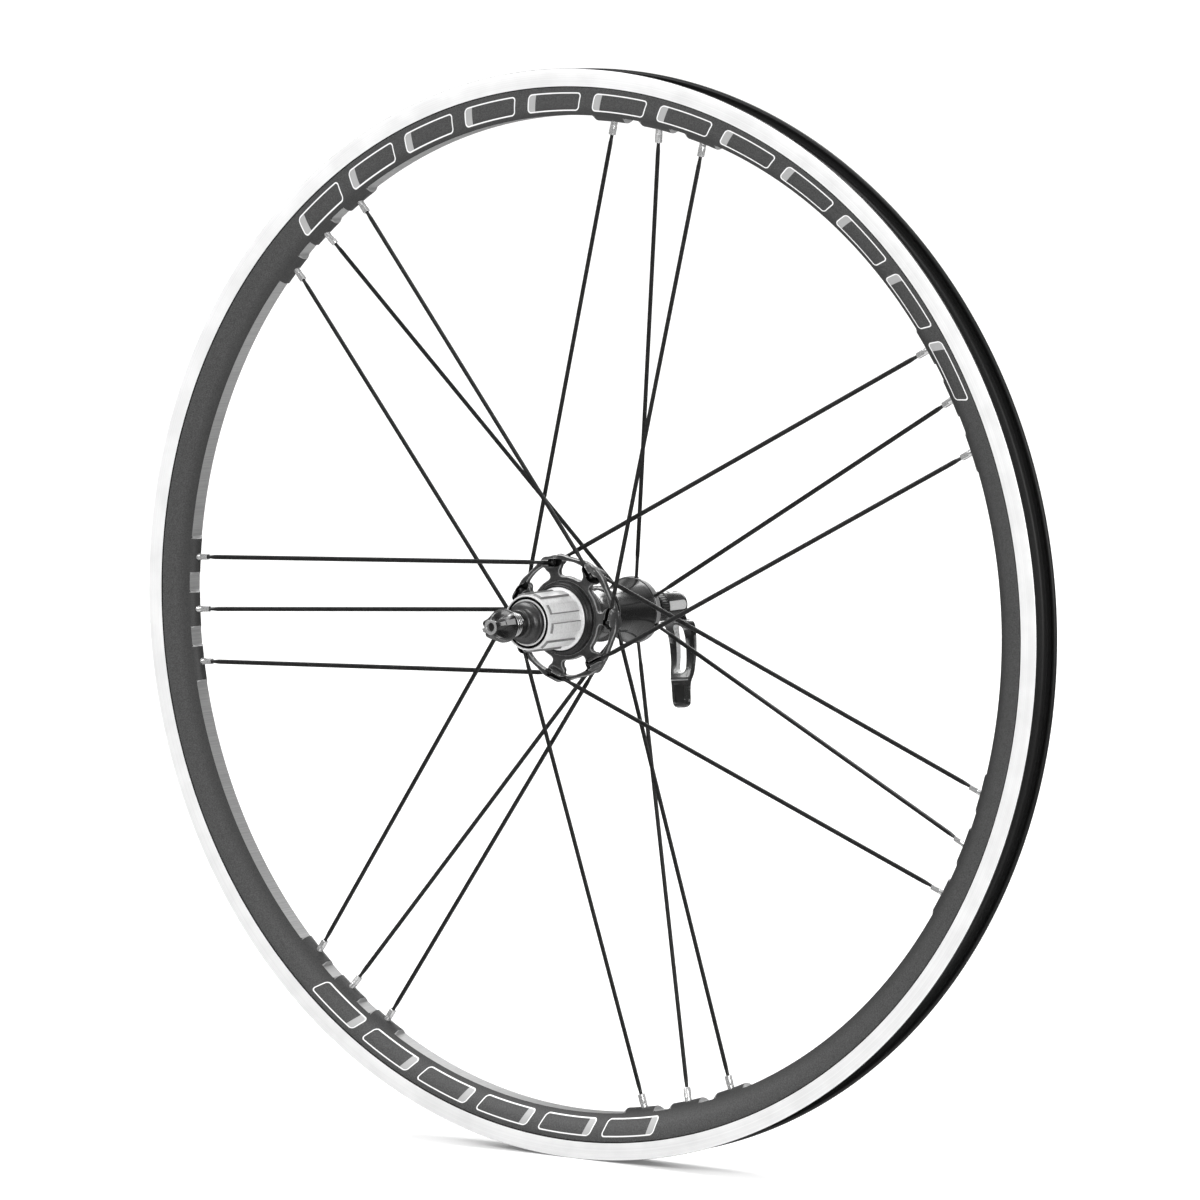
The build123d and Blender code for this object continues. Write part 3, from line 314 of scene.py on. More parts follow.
def combine(obj, other, operation):
    """Boolean of two closed meshes; faces keep their material index."""
    modifier = obj.modifiers.new("boolean", "BOOLEAN")
    modifier.operation = operation
    modifier.solver = "EXACT"
    modifier.object = other
    settle(obj)
    bpy.data.objects.remove(other)
    return obj


def cut(obj, *others):
    for other in others:
        combine(obj, other, "DIFFERENCE")
    return obj


def chamfer(obj, width, angle=35, segments=2):
    modifier = obj.modifiers.new("bevel", "BEVEL")
    modifier.width = width * MM
    modifier.segments = segments
    modifier.limit_method = "ANGLE"
    modifier.angle_limit = math.radians(angle)
    return settle(obj)


def cast(obj, voxel, rounds, factor=0.5):
    """Even skin with rounded edges, as on a cast or forged piece."""
    remesh = obj.modifiers.new("remesh", "REMESH")
    remesh.mode = "VOXEL"
    remesh.voxel_size = voxel * MM
    smooth = obj.modifiers.new("smooth", "SMOOTH")
    smooth.factor = factor
    smooth.iterations = rounds
    return settle(obj)


def join(name, objects):
    """One object that keeps each closed shell of several."""
    bm = bmesh.new()
    for obj in objects:
        bm.from_mesh(obj.data)
        bpy.data.objects.remove(obj)
    mesh = bpy.data.meshes.new(name)
    bm.to_mesh(mesh)
    bm.free()
    return link_mesh(name, mesh)


def turn_with_skewer(obj):
    """Turn a piece about the axle as the skewer is turned."""
    obj.data.transform(Matrix.Rotation(-SKEWER_TURN, 4, "Y"))
    return obj


def finish_piece(obj, body, nodes, materials, angle=32):
    """Shading, materials, the body the piece rides on and the CAD nodes it stands for."""
    bm = bmesh.new()
    bm.from_mesh(obj.data)
    bmesh.ops.remove_doubles(bm, verts=bm.verts, dist=WELD_DISTANCE)
    limit = math.radians(angle)
    for face in bm.faces:
        face.smooth = True
    for edge in bm.edges:
        edge.smooth = len(edge.link_faces) == 2 and edge.calc_face_angle(0.0) < limit
    bm.to_mesh(obj.data)
    bm.free()
    numbers = [min(polygon.material_index, len(materials) - 1) for polygon in obj.data.polygons]
    obj.data.materials.clear()
    for material in materials:
        obj.data.materials.append(material)
    obj.data.polygons.foreach_set("material_index", numbers)
    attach(obj, body)
    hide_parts(*nodes)
    return obj


# ---- spoke layout ----

def spoke_ends():
    """Head point and nipple point of the drive front, drive back and left spokes."""
    front, back, left = [], [], []
    for group in range(GROUPS):
        angle = FIRST_GROUP - group * GROUP_PITCH
        front.append((polar(DRIVE_HEAD_RADIUS, angle - DRIVE_HEAD_LAG, FRONT_SPOKE_Y),
                      polar(NIPPLE_TIP_RADIUS, angle - SPOKE_SPREAD, -0.6)))
        back.append((polar(DRIVE_HEAD_RADIUS, angle + DRIVE_HEAD_LAG, BACK_SPOKE_Y),
                     polar(NIPPLE_TIP_RADIUS, angle + SPOKE_SPREAD, -0.4)))
        left.append((polar(LEFT_HEAD_RADIUS, angle, LEFT_SPOKE_Y), polar(NIPPLE_TIP_RADIUS, angle, 1.4)))
    return front, back, left


def spoke_axes(start, end):
    """Directions along a spoke, across it in the wheel's plane, and towards the drive side."""
    along = (end - start).normalized()
    across = along.cross(Vector((0, 1, 0))).normalized()
    return along, across, along.cross(across)


FRONT, BACK, LEFT = spoke_ends()
LAND_ANGLES = [FIRST_GROUP - group * GROUP_PITCH + side * SPOKE_SPREAD
               for group in range(GROUPS) for side in (-1, 0, 1)]


# ---- rim ----

def crest_cut(angle):
    """Radius the rim's inner edge is milled down to: full height on each nipple's land."""
    away = min(apart(angle, centre) for centre in LAND_ANGLES)
    distance = math.radians(away) * LAND_CREST
    return mix(LAND_CREST, MILLED_FLOOR, ease((distance - LAND_HALF_LENGTH) / LAND_SLOPE))


def rim_flank():
    """Half of the rim's fixed outline, from the foot of the nose to the middle of the tyre well."""
    foot, knee, top = Vector((MILLED_FLOOR, NOSE_HALF)), Vector((296.5, 9.5)), Vector((305.7, 10.95))
    wall = [tuple(foot * (1 - t) ** 2 + knee * 2 * t * (1 - t) + top * t * t)
            for t in (k / 9 for k in range(10))]
    edge = soften([
        wall[-1], (TRACK_INNER - 0.25, 10.95, 0.08), (TRACK_INNER - 0.2, 10.7, 0.08),
        (TRACK_INNER + 0.3, 10.7, 0.08), (TRACK_INNER + 0.35, RIM_HALF, 0.1),
        (RIM_RADIUS - 0.5, RIM_HALF, 0.2), (RIM_RADIUS, RIM_HALF - 0.6, 0.3),
        (RIM_RADIUS, RIM_HALF - 1.4, 0.4),
        (RIM_RADIUS - 0.9, RIM_HALF - 2.4, 0.4), (RIM_RADIUS - 2.0, RIM_HALF - 2.4, 0.4),
        (RIM_RADIUS - 3.0, RIM_HALF - 1.5, 0.5), (311.0, RIM_HALF - 1.5, 0.5),
        (310.4, RIM_HALF - 4.2, 1.0), (WELL_FLOOR + 0.4, RIM_HALF - 6.2, 1.0),
        (WELL_FLOOR, RIM_HALF - 7.6, 1.0),
        (WELL_FLOOR, 0.0),
    ], 0.4, 2, closed=False)
    return wall[1:-1], edge


RIM_WALL, RIM_EDGE = rim_flank()


def rim_section(angle):
    level = crest_cut(angle)
    share = (level - LAND_CREST) / (MILLED_FLOOR - LAND_CREST)
    flat = min(NOSE_HALF - 0.25, max(0.8, NOSE_HALF * share ** (1 / NOSE_POWER)))
    ys = [flat * k / 3 for k in range(4)] + [mix(flat, NOSE_HALF, k / 6) for k in range(1, 7)]
    rise = MILLED_FLOOR - LAND_CREST
    nose = [(max(level, LAND_CREST + rise * (y / NOSE_HALF) ** NOSE_POWER), y) for y in ys]
    half = nose + RIM_WALL + RIM_EDGE
    mirrored = [(radius, -y) for radius, y in half[-2:0:-1]]
    return half + mirrored


def rim_slot(angle, k):
    """Material of one rim face: 0 wall, 1 brake track, 2 milled flat, 3 tyre well."""
    row = rim_section(angle)
    radius, y = (Vector(row[k]) + Vector(row[(k + 1) % len(row)])) / 2
    if radius < 292:
        return 2 if crest_cut(angle) > LAND_CREST + 0.3 and abs(y) < NOSE_HALF - 0.2 else 0
    if TRACK_INNER - 0.3 < radius < TRACK_INNER + 0.4 and abs(y) > 10.6:
        return 3
    if abs(y) > RIM_HALF - 0.3 and radius > TRACK_INNER:
        return 1
    wall_y = RIM_HALF - 0.9
    return 3 if radius > WELL_FLOOR - 1 and abs(y) < wall_y or radius > RIM_RADIUS - 0.5 else 0


def rim_angles():
    """Stations round the rim, closer together at both ends of each land."""
    crest_step = math.degrees(1 / LAND_CREST)
    angles = []
    for centre in LAND_ANGLES:
        for side in (-1, 1):
            for k in range(9):
                distance = LAND_HALF_LENGTH - 0.1 + (LAND_SLOPE + 0.2) * k / 8
                angles.append((centre + side * distance * crest_step) % 360)
    between = [angle for angle in even_angles(RIM_STATIONS)
               if all(apart(angle, other) > SAME_STATION for other in angles)]
    return sorted(angles + between)


def rim(materials):
    body = ring_object("rim_visual", rim_section, rim_angles(), rim_slot)
    cavity = [(292.6, 3.0), (295.0, 6.0), (302.4, 8.7), (307.0, 9.3), (309.3, 9.0), (309.3, 8.2),
              (305.1, 6.3), (304.1, 5.4), (304.1, 0.0)]
    hollow = cavity + [(radius, -y) for radius, y in cavity[-2::-1]]
    inner = lathe("cavity", hollow, 0.6, 240)
    for polygon in inner.data.polygons:
        polygon.material_index = 3
    drills = [rod_between("drill", end, end + spoke_axes(start, end)[0] * 16, 2.25, 24, 2)
              for group in (FRONT, BACK, LEFT) for start, end in group]
    drills.append(rod_between("valve", polar(280, VALVE_ANGLE), polar(312, VALVE_ANGLE), 3.25, 40, 2))
    cut(body, inner, join("drills", drills))
    finish_piece(body, "wheel", ["rim"], materials, 30)


# ---- spokes and nipples ----

def spoke_mesh(start, end):
    """Straight-pull spoke: mushroom head, round neck, flat blade, round end in its nipple."""
    along, across, normal = spoke_axes(start, end)
    length = (end - start).length + NIPPLE_LENGTH - 2.4
    blade_start, blade_end = 14.0, length - 15.0
    stations = [(0.0, 1.5, 1.5, 2), (0.25, 1.85, 1.85, 2), (1.1, 1.9, 1.9, 2), (1.6, 1.6, 1.6, 2),
                (2.0, 1.0, 1.0, 2)]
    def drawn(distance, t):
        """Section between round (0) and flat blade (1)."""
        return distance, mix(1.0, BLADE_HALF_WIDTH, t), mix(1.0, BLADE_HALF_THICKNESS, t), mix(2, 3, t)

    stations += [drawn(blade_start + 5 * k / 6, ease(k / 6)) for k in range(7)]
    stations.append(drawn((blade_start + blade_end) / 2, 1))
    stations += [drawn(blade_end - 5 + 5 * k / 6, ease(1 - k / 6)) for k in range(7)]
    stations.append((length, 1.0, 1.0, 2))
    sides = 20
    verts = []
    for distance, wide, thick, power in stations:
        for k in range(sides):
            c = math.cos(2 * math.pi * (k + 0.5) / sides)
            s = math.sin(2 * math.pi * (k + 0.5) / sides)
            a = math.copysign(abs(c) ** (2 / power), c) * wide
            b = math.copysign(abs(s) ** (2 / power), s) * thick
            verts.append(start + along * distance + across * a + normal * b)
    return verts, stacked_faces(len(stations), sides)


def gather(parts):
    """Many (points, faces) lists as one."""
    verts, faces = [], []
    for part_verts, part_faces in parts:
        base = len(verts)
        verts += part_verts
        faces += [tuple(base + v for v in face) for face in part_faces]
    return verts, faces


def spokes(node, ends, material):
    verts, faces = gather([spoke_mesh(start, end) for start, end in ends])
    finish_piece(new_object(node + "_visual", verts, faces), "wheel", [node], [material], 40)


def nipple_mesh(start, end):
    """Nipple with a squared end, a round shank and a wider head inside the rim."""
    along, across, normal = spoke_axes(start, end)
    sides = 48
    verts = []
    size = 0
    for k in range(sides):
        turn = 2 * math.pi * k / sides
        c, s = math.cos(turn), math.sin(turn)
        square = min(1.68 / max(abs(c), abs(s)), 2.1)
        outline = [(1.05, 16.0), (1.05, 0.5), (1.35, 0.0), (square - 0.35, 0.0), (square - 0.1, 0.12),
                   (square, 0.4), (square, 5.0), (mix(square, 1.95, 0.5), 5.35), (1.95, 5.6), (2.0, 6.2),
                   (2.0, 13.7), (2.6, 13.8), (2.8, 14.0), (2.8, 16.0), (2.5, 16.2), (1.3, 16.2)]
        size = len(outline)
        direction = across * c + normal * s
        verts += [end + direction * radius + along * distance for radius, distance in outline]
    return verts, ring_faces(sides, size)


def nipples(material):
    verts, faces = gather([nipple_mesh(start, end) for group in (FRONT, BACK, LEFT) for start, end in group])
    body = new_object("nipples_visual", verts, faces)
    finish_piece(body, "wheel", ["spoke_nipples"], [material])


# ---- hub ----

LOBE_ANGLES = [FIRST_GROUP - DRIVE_HEAD_LAG + (2 * DRIVE_HEAD_LAG - 3 * GROUP_PITCH) / 2 - k * GROUP_PITCH
               for k in range(GROUPS)]


def along_axle(a, b, depth):
    return Vector((a, depth, b))


def spider_outline():
    """Outer edge of the drive flange: full radius at each lobe, dipping a little between."""
    points = []
    for angle in even_angles(280):
        away = min(apart(angle, lobe) for lobe in LOBE_ANGLES)
        dip = 1.3 * ease((away - 9.0) / 14.0)
        points.append(flat_polar(BAND_RADIUS - dip, angle))
    return points


def window_outline(middle):
    """Rounded opening between two arms, narrower outside where the lobes reach in."""
    corners = [(24.6, 17.6, 2.6), (27.8, 18.6, 2.2), (29.8, 15.0, 2.4), (33.2, 14.4, 2.4), (33.6, 0, 4),
               (33.2, -14.4, 2.4), (29.8, -15.0, 2.4), (27.8, -18.6, 2.2), (24.6, -17.6, 2.6), (24.8, 0, 4)]
    points = [(*flat_polar(radius, middle + offset), cut_back) for radius, offset, cut_back in corners]
    return soften(points, 2.0, 5)


def trough(start, end, outwards, radius, near, far):
    """U-shaped cutter along a spoke, open towards one face of the flange."""
    along, across, normal = spoke_axes(start, end)
    up = normal if normal.y * outwards > 0 else -normal
    outline = arc(0, 0, radius, 0, -180, 16) + [(-radius * 0.86, 8.0), (radius * 0.86, 8.0)]
    return prism("trough", outline, near, far, lambda a, b, d: start + across * a + up * b + along * d, 1)


def hub_shell(materials):
    turned_part = lathe("hub_body", [
        (20.6, -19.5), (BOSS_RADIUS - 0.5, -19.5, 0.8), (BOSS_RADIUS + 0.6, -18.4, 0.8),
        (BOSS_RADIUS + 0.6, -14.6, 1.5),
        (21.2, -12.0, 2), (18.4, -10.2, 2), (17.4, -4.6, 3), (14.6, 1.0, 4), (14.6, 13.6, 0.6),
        (16.4, 14.2, 0.5), (16.4, 16.2, 0.5), (14.6, 16.8, 0.6), (14.6, 31.0, 5), (15.6, 36.8, 4),
        (17.4, 42.2, 3), (18.9, 46.2, 0.4), (19.7, 46.6, 0.4), (19.7, 50.0, 0.5), (19.1, 50.6, 0.3),
        (15.6, 50.6), (15.6, 51.5, 0.2), (15.1, 51.5, 0.2), (15.1, 43.2), (11.7, 43.2), (11.7, -4.5),
        (15.1, -4.5), (15.1, -12.3), (20.6, -12.3),
    ], 0.3, 192, 5)
    for polygon in turned_part.data.polygons:
        middle = polygon.center / MM
        on_edge = 46.4 < middle.y < 50.2 and math.hypot(middle.x, middle.z) > 19.4
        polygon.material_index = 2 if on_edge else 3 if middle.y < -11.0 else 0
    plate = prism("spider", spider_outline(), *SPIDER_YS, along_axle)
    circle = [flat_polar(SPIDER_BORE, angle) for angle in even_angles(120)]
    hole = prism("hole", circle, *CUTTER_YS, along_axle)
    windows = [prism("window", window_outline(lobe + GROUP_PITCH / 2), *CUTTER_YS, along_axle)
               for lobe in LOBE_ANGLES]
    cut(plate, join("windows", windows + [hole]))
    lugs = []
    for start, end in FRONT + BACK:
        along = (end - start).normalized()
        lugs.append(capsule("lug", start - along * 2.6, start + along * 9.6, LUG_RADIUS))
    flange = cast(join("flange", [plate] + lugs), CASTING_VOXEL, 4)
    for polygon in flange.data.polygons:
        polygon.material_index = 3
    spoke_sides = [(start, end, -1) for start, end in FRONT] + [(start, end, 1) for start, end in BACK]
    cut(flange, join("pockets", [trough(*one, POCKET_RADIUS, -4.4, 2.2) for one in spoke_sides]),
        join("tunnels", [trough(*one, TUNNEL_RADIUS, 1.0, 24) for one in spoke_sides]))
    holes = []
    for start, end in LEFT:
        along = spoke_axes(start, end)[0]
        holes.append(rod_between("drop", start - along * 1.0, start + along * 9, LEFT_HOLE_RADIUS, 24, 2))
    cut(turned_part, join("left_holes", holes))
    body = join("hub_visual", [turned_part, flange])
    finish_piece(body, "wheel", ["hub_shell"], materials, 38)


# ---- freehub ----

def spline_height(angle):
    """0 in the grooves, 1 on a spline; one of the nine splines is narrower."""
    height = 0.0
    for index, half in enumerate(SPLINE_HALVES):
        away = apart(angle, FIRST_SPLINE_ANGLE - index * SPLINE_PITCH)
        height = max(height, ease((half + 0.85 - away) / 1.7))
    return height


def freehub_section(angle):
    mouth = FREEHUB_MOUTH
    root = FREEHUB_ROOT
    top = mix(root, SPLINE_RADIUS, spline_height(angle))
    collar = soften([(root, -28.0), (root + 0.1, -26.2, 0.6), (18.1, -25.0, 0.6), (18.4, -24.6, 0.3),
                     (18.4, -19.8, 0.3), (15.7, -19.7, 0.3), (15.7, -12.9, 0.3), (12.2, -12.9)],
                    0.3, 3, closed=False)
    outer = [(root - 0.35, mouth), (root - 0.1, mouth + 0.08), (root, mouth + 0.35), (root, -53.6),
             (mix(root, top, 0.5), -53.3), (top - 0.05, -53.0), (top, -52.7), (top, -26.6),
             (mix(root, top, 0.9), -26.2), (max(root + 0.6, top - 0.4), -25.9)]
    inner = [(12.2, mouth + 0.5), (12.4, mouth + 0.1), (12.7, mouth), (13.1, mouth), (13.4, mouth + 0.3),
             (13.4, mouth + 7.9), (14.9, mouth + 7.9), (14.9, mouth + 0.4), (15.2, mouth)]
    return outer + collar[3:] + inner


def freehub_angles():
    angles = even_angles(120)
    for index, half in enumerate(SPLINE_HALVES):
        for side in (-1, 1):
            for k in range(-3, 4):
                angle = FIRST_SPLINE_ANGLE - index * SPLINE_PITCH + side * (half + k * 0.28)
                angles.append(angle % 360)
    return sorted(set(round(angle, 4) for angle in angles))


def freehub(materials):
    body = ring_object("freehub_visual", freehub_section, freehub_angles())
    for polygon in body.data.polygons:
        middle = polygon.center / MM
        radius = math.hypot(middle.x, middle.z)
        # Painted shade: the deep groove inside the mouth gets a near-black material.
        groove_shade = radius < 14.95 and FREEHUB_MOUTH + 0.4 < middle.y < FREEHUB_MOUTH + 8.2
        height = spline_height(math.degrees(math.atan2(middle.z, middle.x)))
        at_end = -53.7 < middle.y < -52.9 and radius > FREEHUB_ROOT + 0.1
        # Painted shade: the splines' sloping flanks and their ends near the mouth get a darker material,
        # standing in for the shade beside each spline.
        flank_shade = 0.02 < height < 0.98 and radius > FREEHUB_ROOT and middle.y < -25.8 or at_end
        polygon.material_index = 1 if groove_shade else 2 if flank_shade else 0
    finish_piece(body, "freehub", ["freehub_body"], materials, 30)


def freehub_seal(material):
    start, end = -24.6, -19.9
    points = [(18.45, start, 0.2), (19.4, start, 0.4), (20.3, start + 0.9, 0.3), (20.0, start + 1.4, 0.2),
              (20.8, start + 1.9, 0.3), (21.3, start + 2.3, 0.3), (20.7, start + 2.75, 0.2),
              (21.3, start + 3.2, 0.3), (21.3, end, 0.3), (18.45, end, 0.2)]
    body = lathe("seal_visual", points, 0.3, 160, 4)
    finish_piece(body, "freehub", ["freehub_seal"], [material])


def end_cap(name, points, node, material):
    finish_piece(lathe(name, points, 0.2, 128, 5), "axle", [node], [material])


def drive_end_cap(material):
    points = [(5.0, -65.0, 0.15), (7.7, -65.0, 0.5), (8.5, -64.3, 0.4), (8.5, -60.8, 1.6), (10.4, -59.1, 1.0),
              (11.9, -58.5, 0.4), (12.3, -57.9, 0.2), (12.3, -56.95), (8.6, -56.95), (8.6, -56.4),
              (6.05, -56.4), (6.05, -64.5), (5.0, -64.5)]
    end_cap("drive_cap_visual", points, "drive_end_cap", material)


def left_end_cap(material):
    points = [(6.05, 57.5), (11.3, 57.5, 0.3), (11.8, 58.0, 0.3), (11.8, 59.2, 0.5), (8.9, 61.2, 0.8),
              (8.9, 64.4, 0.4), (8.3, 65.0, 0.3), (5.0, 65.0, 0.15), (5.0, 64.5), (6.05, 64.5)]
    end_cap("left_cap_visual", points, "left_end_cap", material)


# ---- skewer ----

def nut_spring(material):
    """Conical wire spring, wound at an even pitch."""
    low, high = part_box("nut_spring")
    wire = 0.5
    start, end = high.y / MM - wire, low.y / MM + wire
    turns, sides, steps = 4, 12, 220
    centres = []
    for k in range(steps + 1):
        t = k / steps
        y = mix(start, end, t)
        centres.append(polar(mix(6.35, 7.85, t), 20 + 360 * turns * t, y))
    verts = []
    for k, centre in enumerate(centres):
        along = (centres[min(k + 1, steps)] - centres[max(k - 1, 0)]).normalized()
        outward = Vector((centre.x, 0, centre.z)).normalized()
        outward = (outward - along * outward.dot(along)).normalized()
        third = along.cross(outward)
        for s in range(sides):
            turn = 2 * math.pi * s / sides
            verts.append(centre + outward * wire * math.cos(turn) + third * wire * math.sin(turn))
    obj = new_object("nut_spring_visual", verts, stacked_faces(steps + 1, sides))
    finish_piece(obj, "nut_carrier", ["nut_spring"], [material], 60)
    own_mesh(obj)


def nut_section(angle):
    """Nut outline: a round base, five fins and deep hollows between them."""
    half_pitch = 180 / NUT_FINS
    away = abs((angle - NUT_FIN_ANGLE + half_pitch) % (2 * half_pitch) - half_pitch) / half_pitch
    fin = min(1.0, (away / 0.86) ** 1.7)
    hollow = [(9.8, -79.3), (9.2, -80.6), (8.0, -82.4), (6.6, -84.4), (5.5, -86.4), (4.9, -88.4),
              (4.7, -89.8)]
    crest = [(9.8, -79.3), (9.6, -80.8), (9.2, -82.6), (8.7, -84.6), (8.1, -86.6), (7.4, -88.5), (6.4, -89.9)]
    flank = [(mix(low[0], high[0], fin), mix(low[1], high[1], fin)) for low, high in zip(hollow, crest)]
    base = soften([(NUT_THREAD_RADIUS, -78.2), (8.1, -78.2, 0.2), (8.5, -77.0, 0.3), (9.3, -77.0, 0.4),
                   (9.8, -77.5, 0.4), flank[0]], 0.3, 3, closed=False)
    tip = [(mix(4.6, 4.9, fin), -90.5), (4.35, NUT_TIP + 0.1), (4.2, NUT_TIP), (2.8, NUT_TIP),
           (NUT_HOLE_RADIUS, NUT_TIP + 0.2), (NUT_HOLE_RADIUS, -88.1), (NUT_THREAD_RADIUS, -88.1)]
    return base + flank[1:] + tip


def nut(materials):
    body = ring_object("nut_visual", nut_section, even_angles(180))
    for polygon in body.data.polygons:
        middle = polygon.center / MM
        if middle.y < NUT_TIP + 0.12 and math.hypot(middle.x, middle.z) > 2.75:
            polygon.material_index = 1

    def facet(angle, y_from, y_to, r_from, r_to, half):
        def place(a, b, d):
            out = mix(r_from, r_to, (b - y_from) / (y_to - y_from)) + d
            return polar(out, angle, b) + polar(a, angle + 90)
        corners = [(-half * 0.8, y_from), (half * 0.8, y_from), (half, y_to), (-half, y_to)]
        return prism("facet", soften(corners, 0.25), -1.6, 0.35, place, 1)

    for angle in NUT_FACET_ANGLES:
        combine(body, facet(angle, -89.4, -86.9, 6.7, 8.0, 1.25), "UNION")
        combine(body, facet(angle, -86.1, -79.6, 8.25, 9.6, 1.7), "UNION")
    finish_piece(body, "nut", ["qr_nut"], materials, 34)


def cap_ring_section(angle):
    """Ring with a straight knurl outside and teeth on its face."""
    knurl = 0.32 * abs(math.sin(math.radians(angle * 18)))
    tooth = 0.35 * abs(math.sin(math.radians(angle * 12)))
    face, end = 68.0, BARREL_START
    return [(6.6, end - 0.2), (6.6, face + 0.5), (6.8, face + 0.2 + tooth), (8.2, face + tooth),
            (8.4, face + 0.25 + tooth), (8.45, face + 1.0), (8.6 - knurl, face + 1.3),
            (8.6 - knurl, end - 1.2), (8.3, end - 0.9), (8.3, end - 0.6), (8.6, end - 0.4),
            (8.55, end - 0.1), (8.4, end), (6.8, end)]


def cap_ring(material):
    body = ring_object("cap_ring_visual", cap_ring_section, even_angles(432))
    finish_piece(turn_with_skewer(body), "skewer_cap", ["qr_cap_ring"], [material], 34)


def across_x(a, b, depth):
    """Outline in the (y, z) plane, extruded along X."""
    return Vector((depth, a, b))


def circle_yz(radius, y):
    return arc(y, 0, radius, 0, 360, 64)[:-1]


def cam_housing(materials):
    """Polished barrel: slotted for the lever, with one machined flat on its side."""
    start = BARREL_START + 0.05
    dome_start = 90.5
    outline = [(5.9, 68.8), (6.57, 68.8, 0.15), (6.57, start, 0.05), (8.3, start, 0.3),
               (BARREL_RADIUS, start + 0.5, 0.3)]
    for step in range(0, 13):
        turn = math.radians(step * 7.5)
        outline.append((BARREL_DOME_RADIUS + (BARREL_RADIUS - BARREL_DOME_RADIUS) * math.cos(turn),
                        dome_start + BARREL_DOME_HEIGHT * math.sin(turn), 0.4))
    outline += [(2.61, 77.6, 0.1), (5.9, 77.6, 0.1)]
    body = lathe("barrel_visual", outline, 0.2, 160, 3)
    half, well = 4.2, 8.4
    low = 180 + math.degrees(math.acos((PIVOT_Y - 85.0) / well))
    slot = [(79.5, 12), (79.5, 0.0), (PIVOT_Y - well, 0.0)] + arc(PIVOT_Y, 0, well, 180, low, 12)[1:]
    slot += [(85.0, -12), (110, -12), (110, 12)]
    cut(body, prism("slot", slot, -half, half, across_x),
        prism("large", circle_yz(BARREL_LARGE_BORE, PIVOT_Y), -12, 0, across_x),
        prism("small", circle_yz(BARREL_SMALL_BORE, PIVOT_Y), 0, 7.0, across_x))
    flat_end, flat_half = 89.3, 2.75
    flat = [(start - 0.5, -flat_half), (flat_end, -flat_half)]
    flat += arc(flat_end, 0, flat_half, -90, 90, 16)[1:-1] + [(flat_end, flat_half), (start - 0.5, flat_half)]
    cut(body, prism("flat", flat, 8.15, 12, across_x, 1))
    chamfer(body, 0.14, 40, 2)
    finish_piece(turn_with_skewer(body), "skewer_cap", ["qr_cam_housing"], materials, 36)


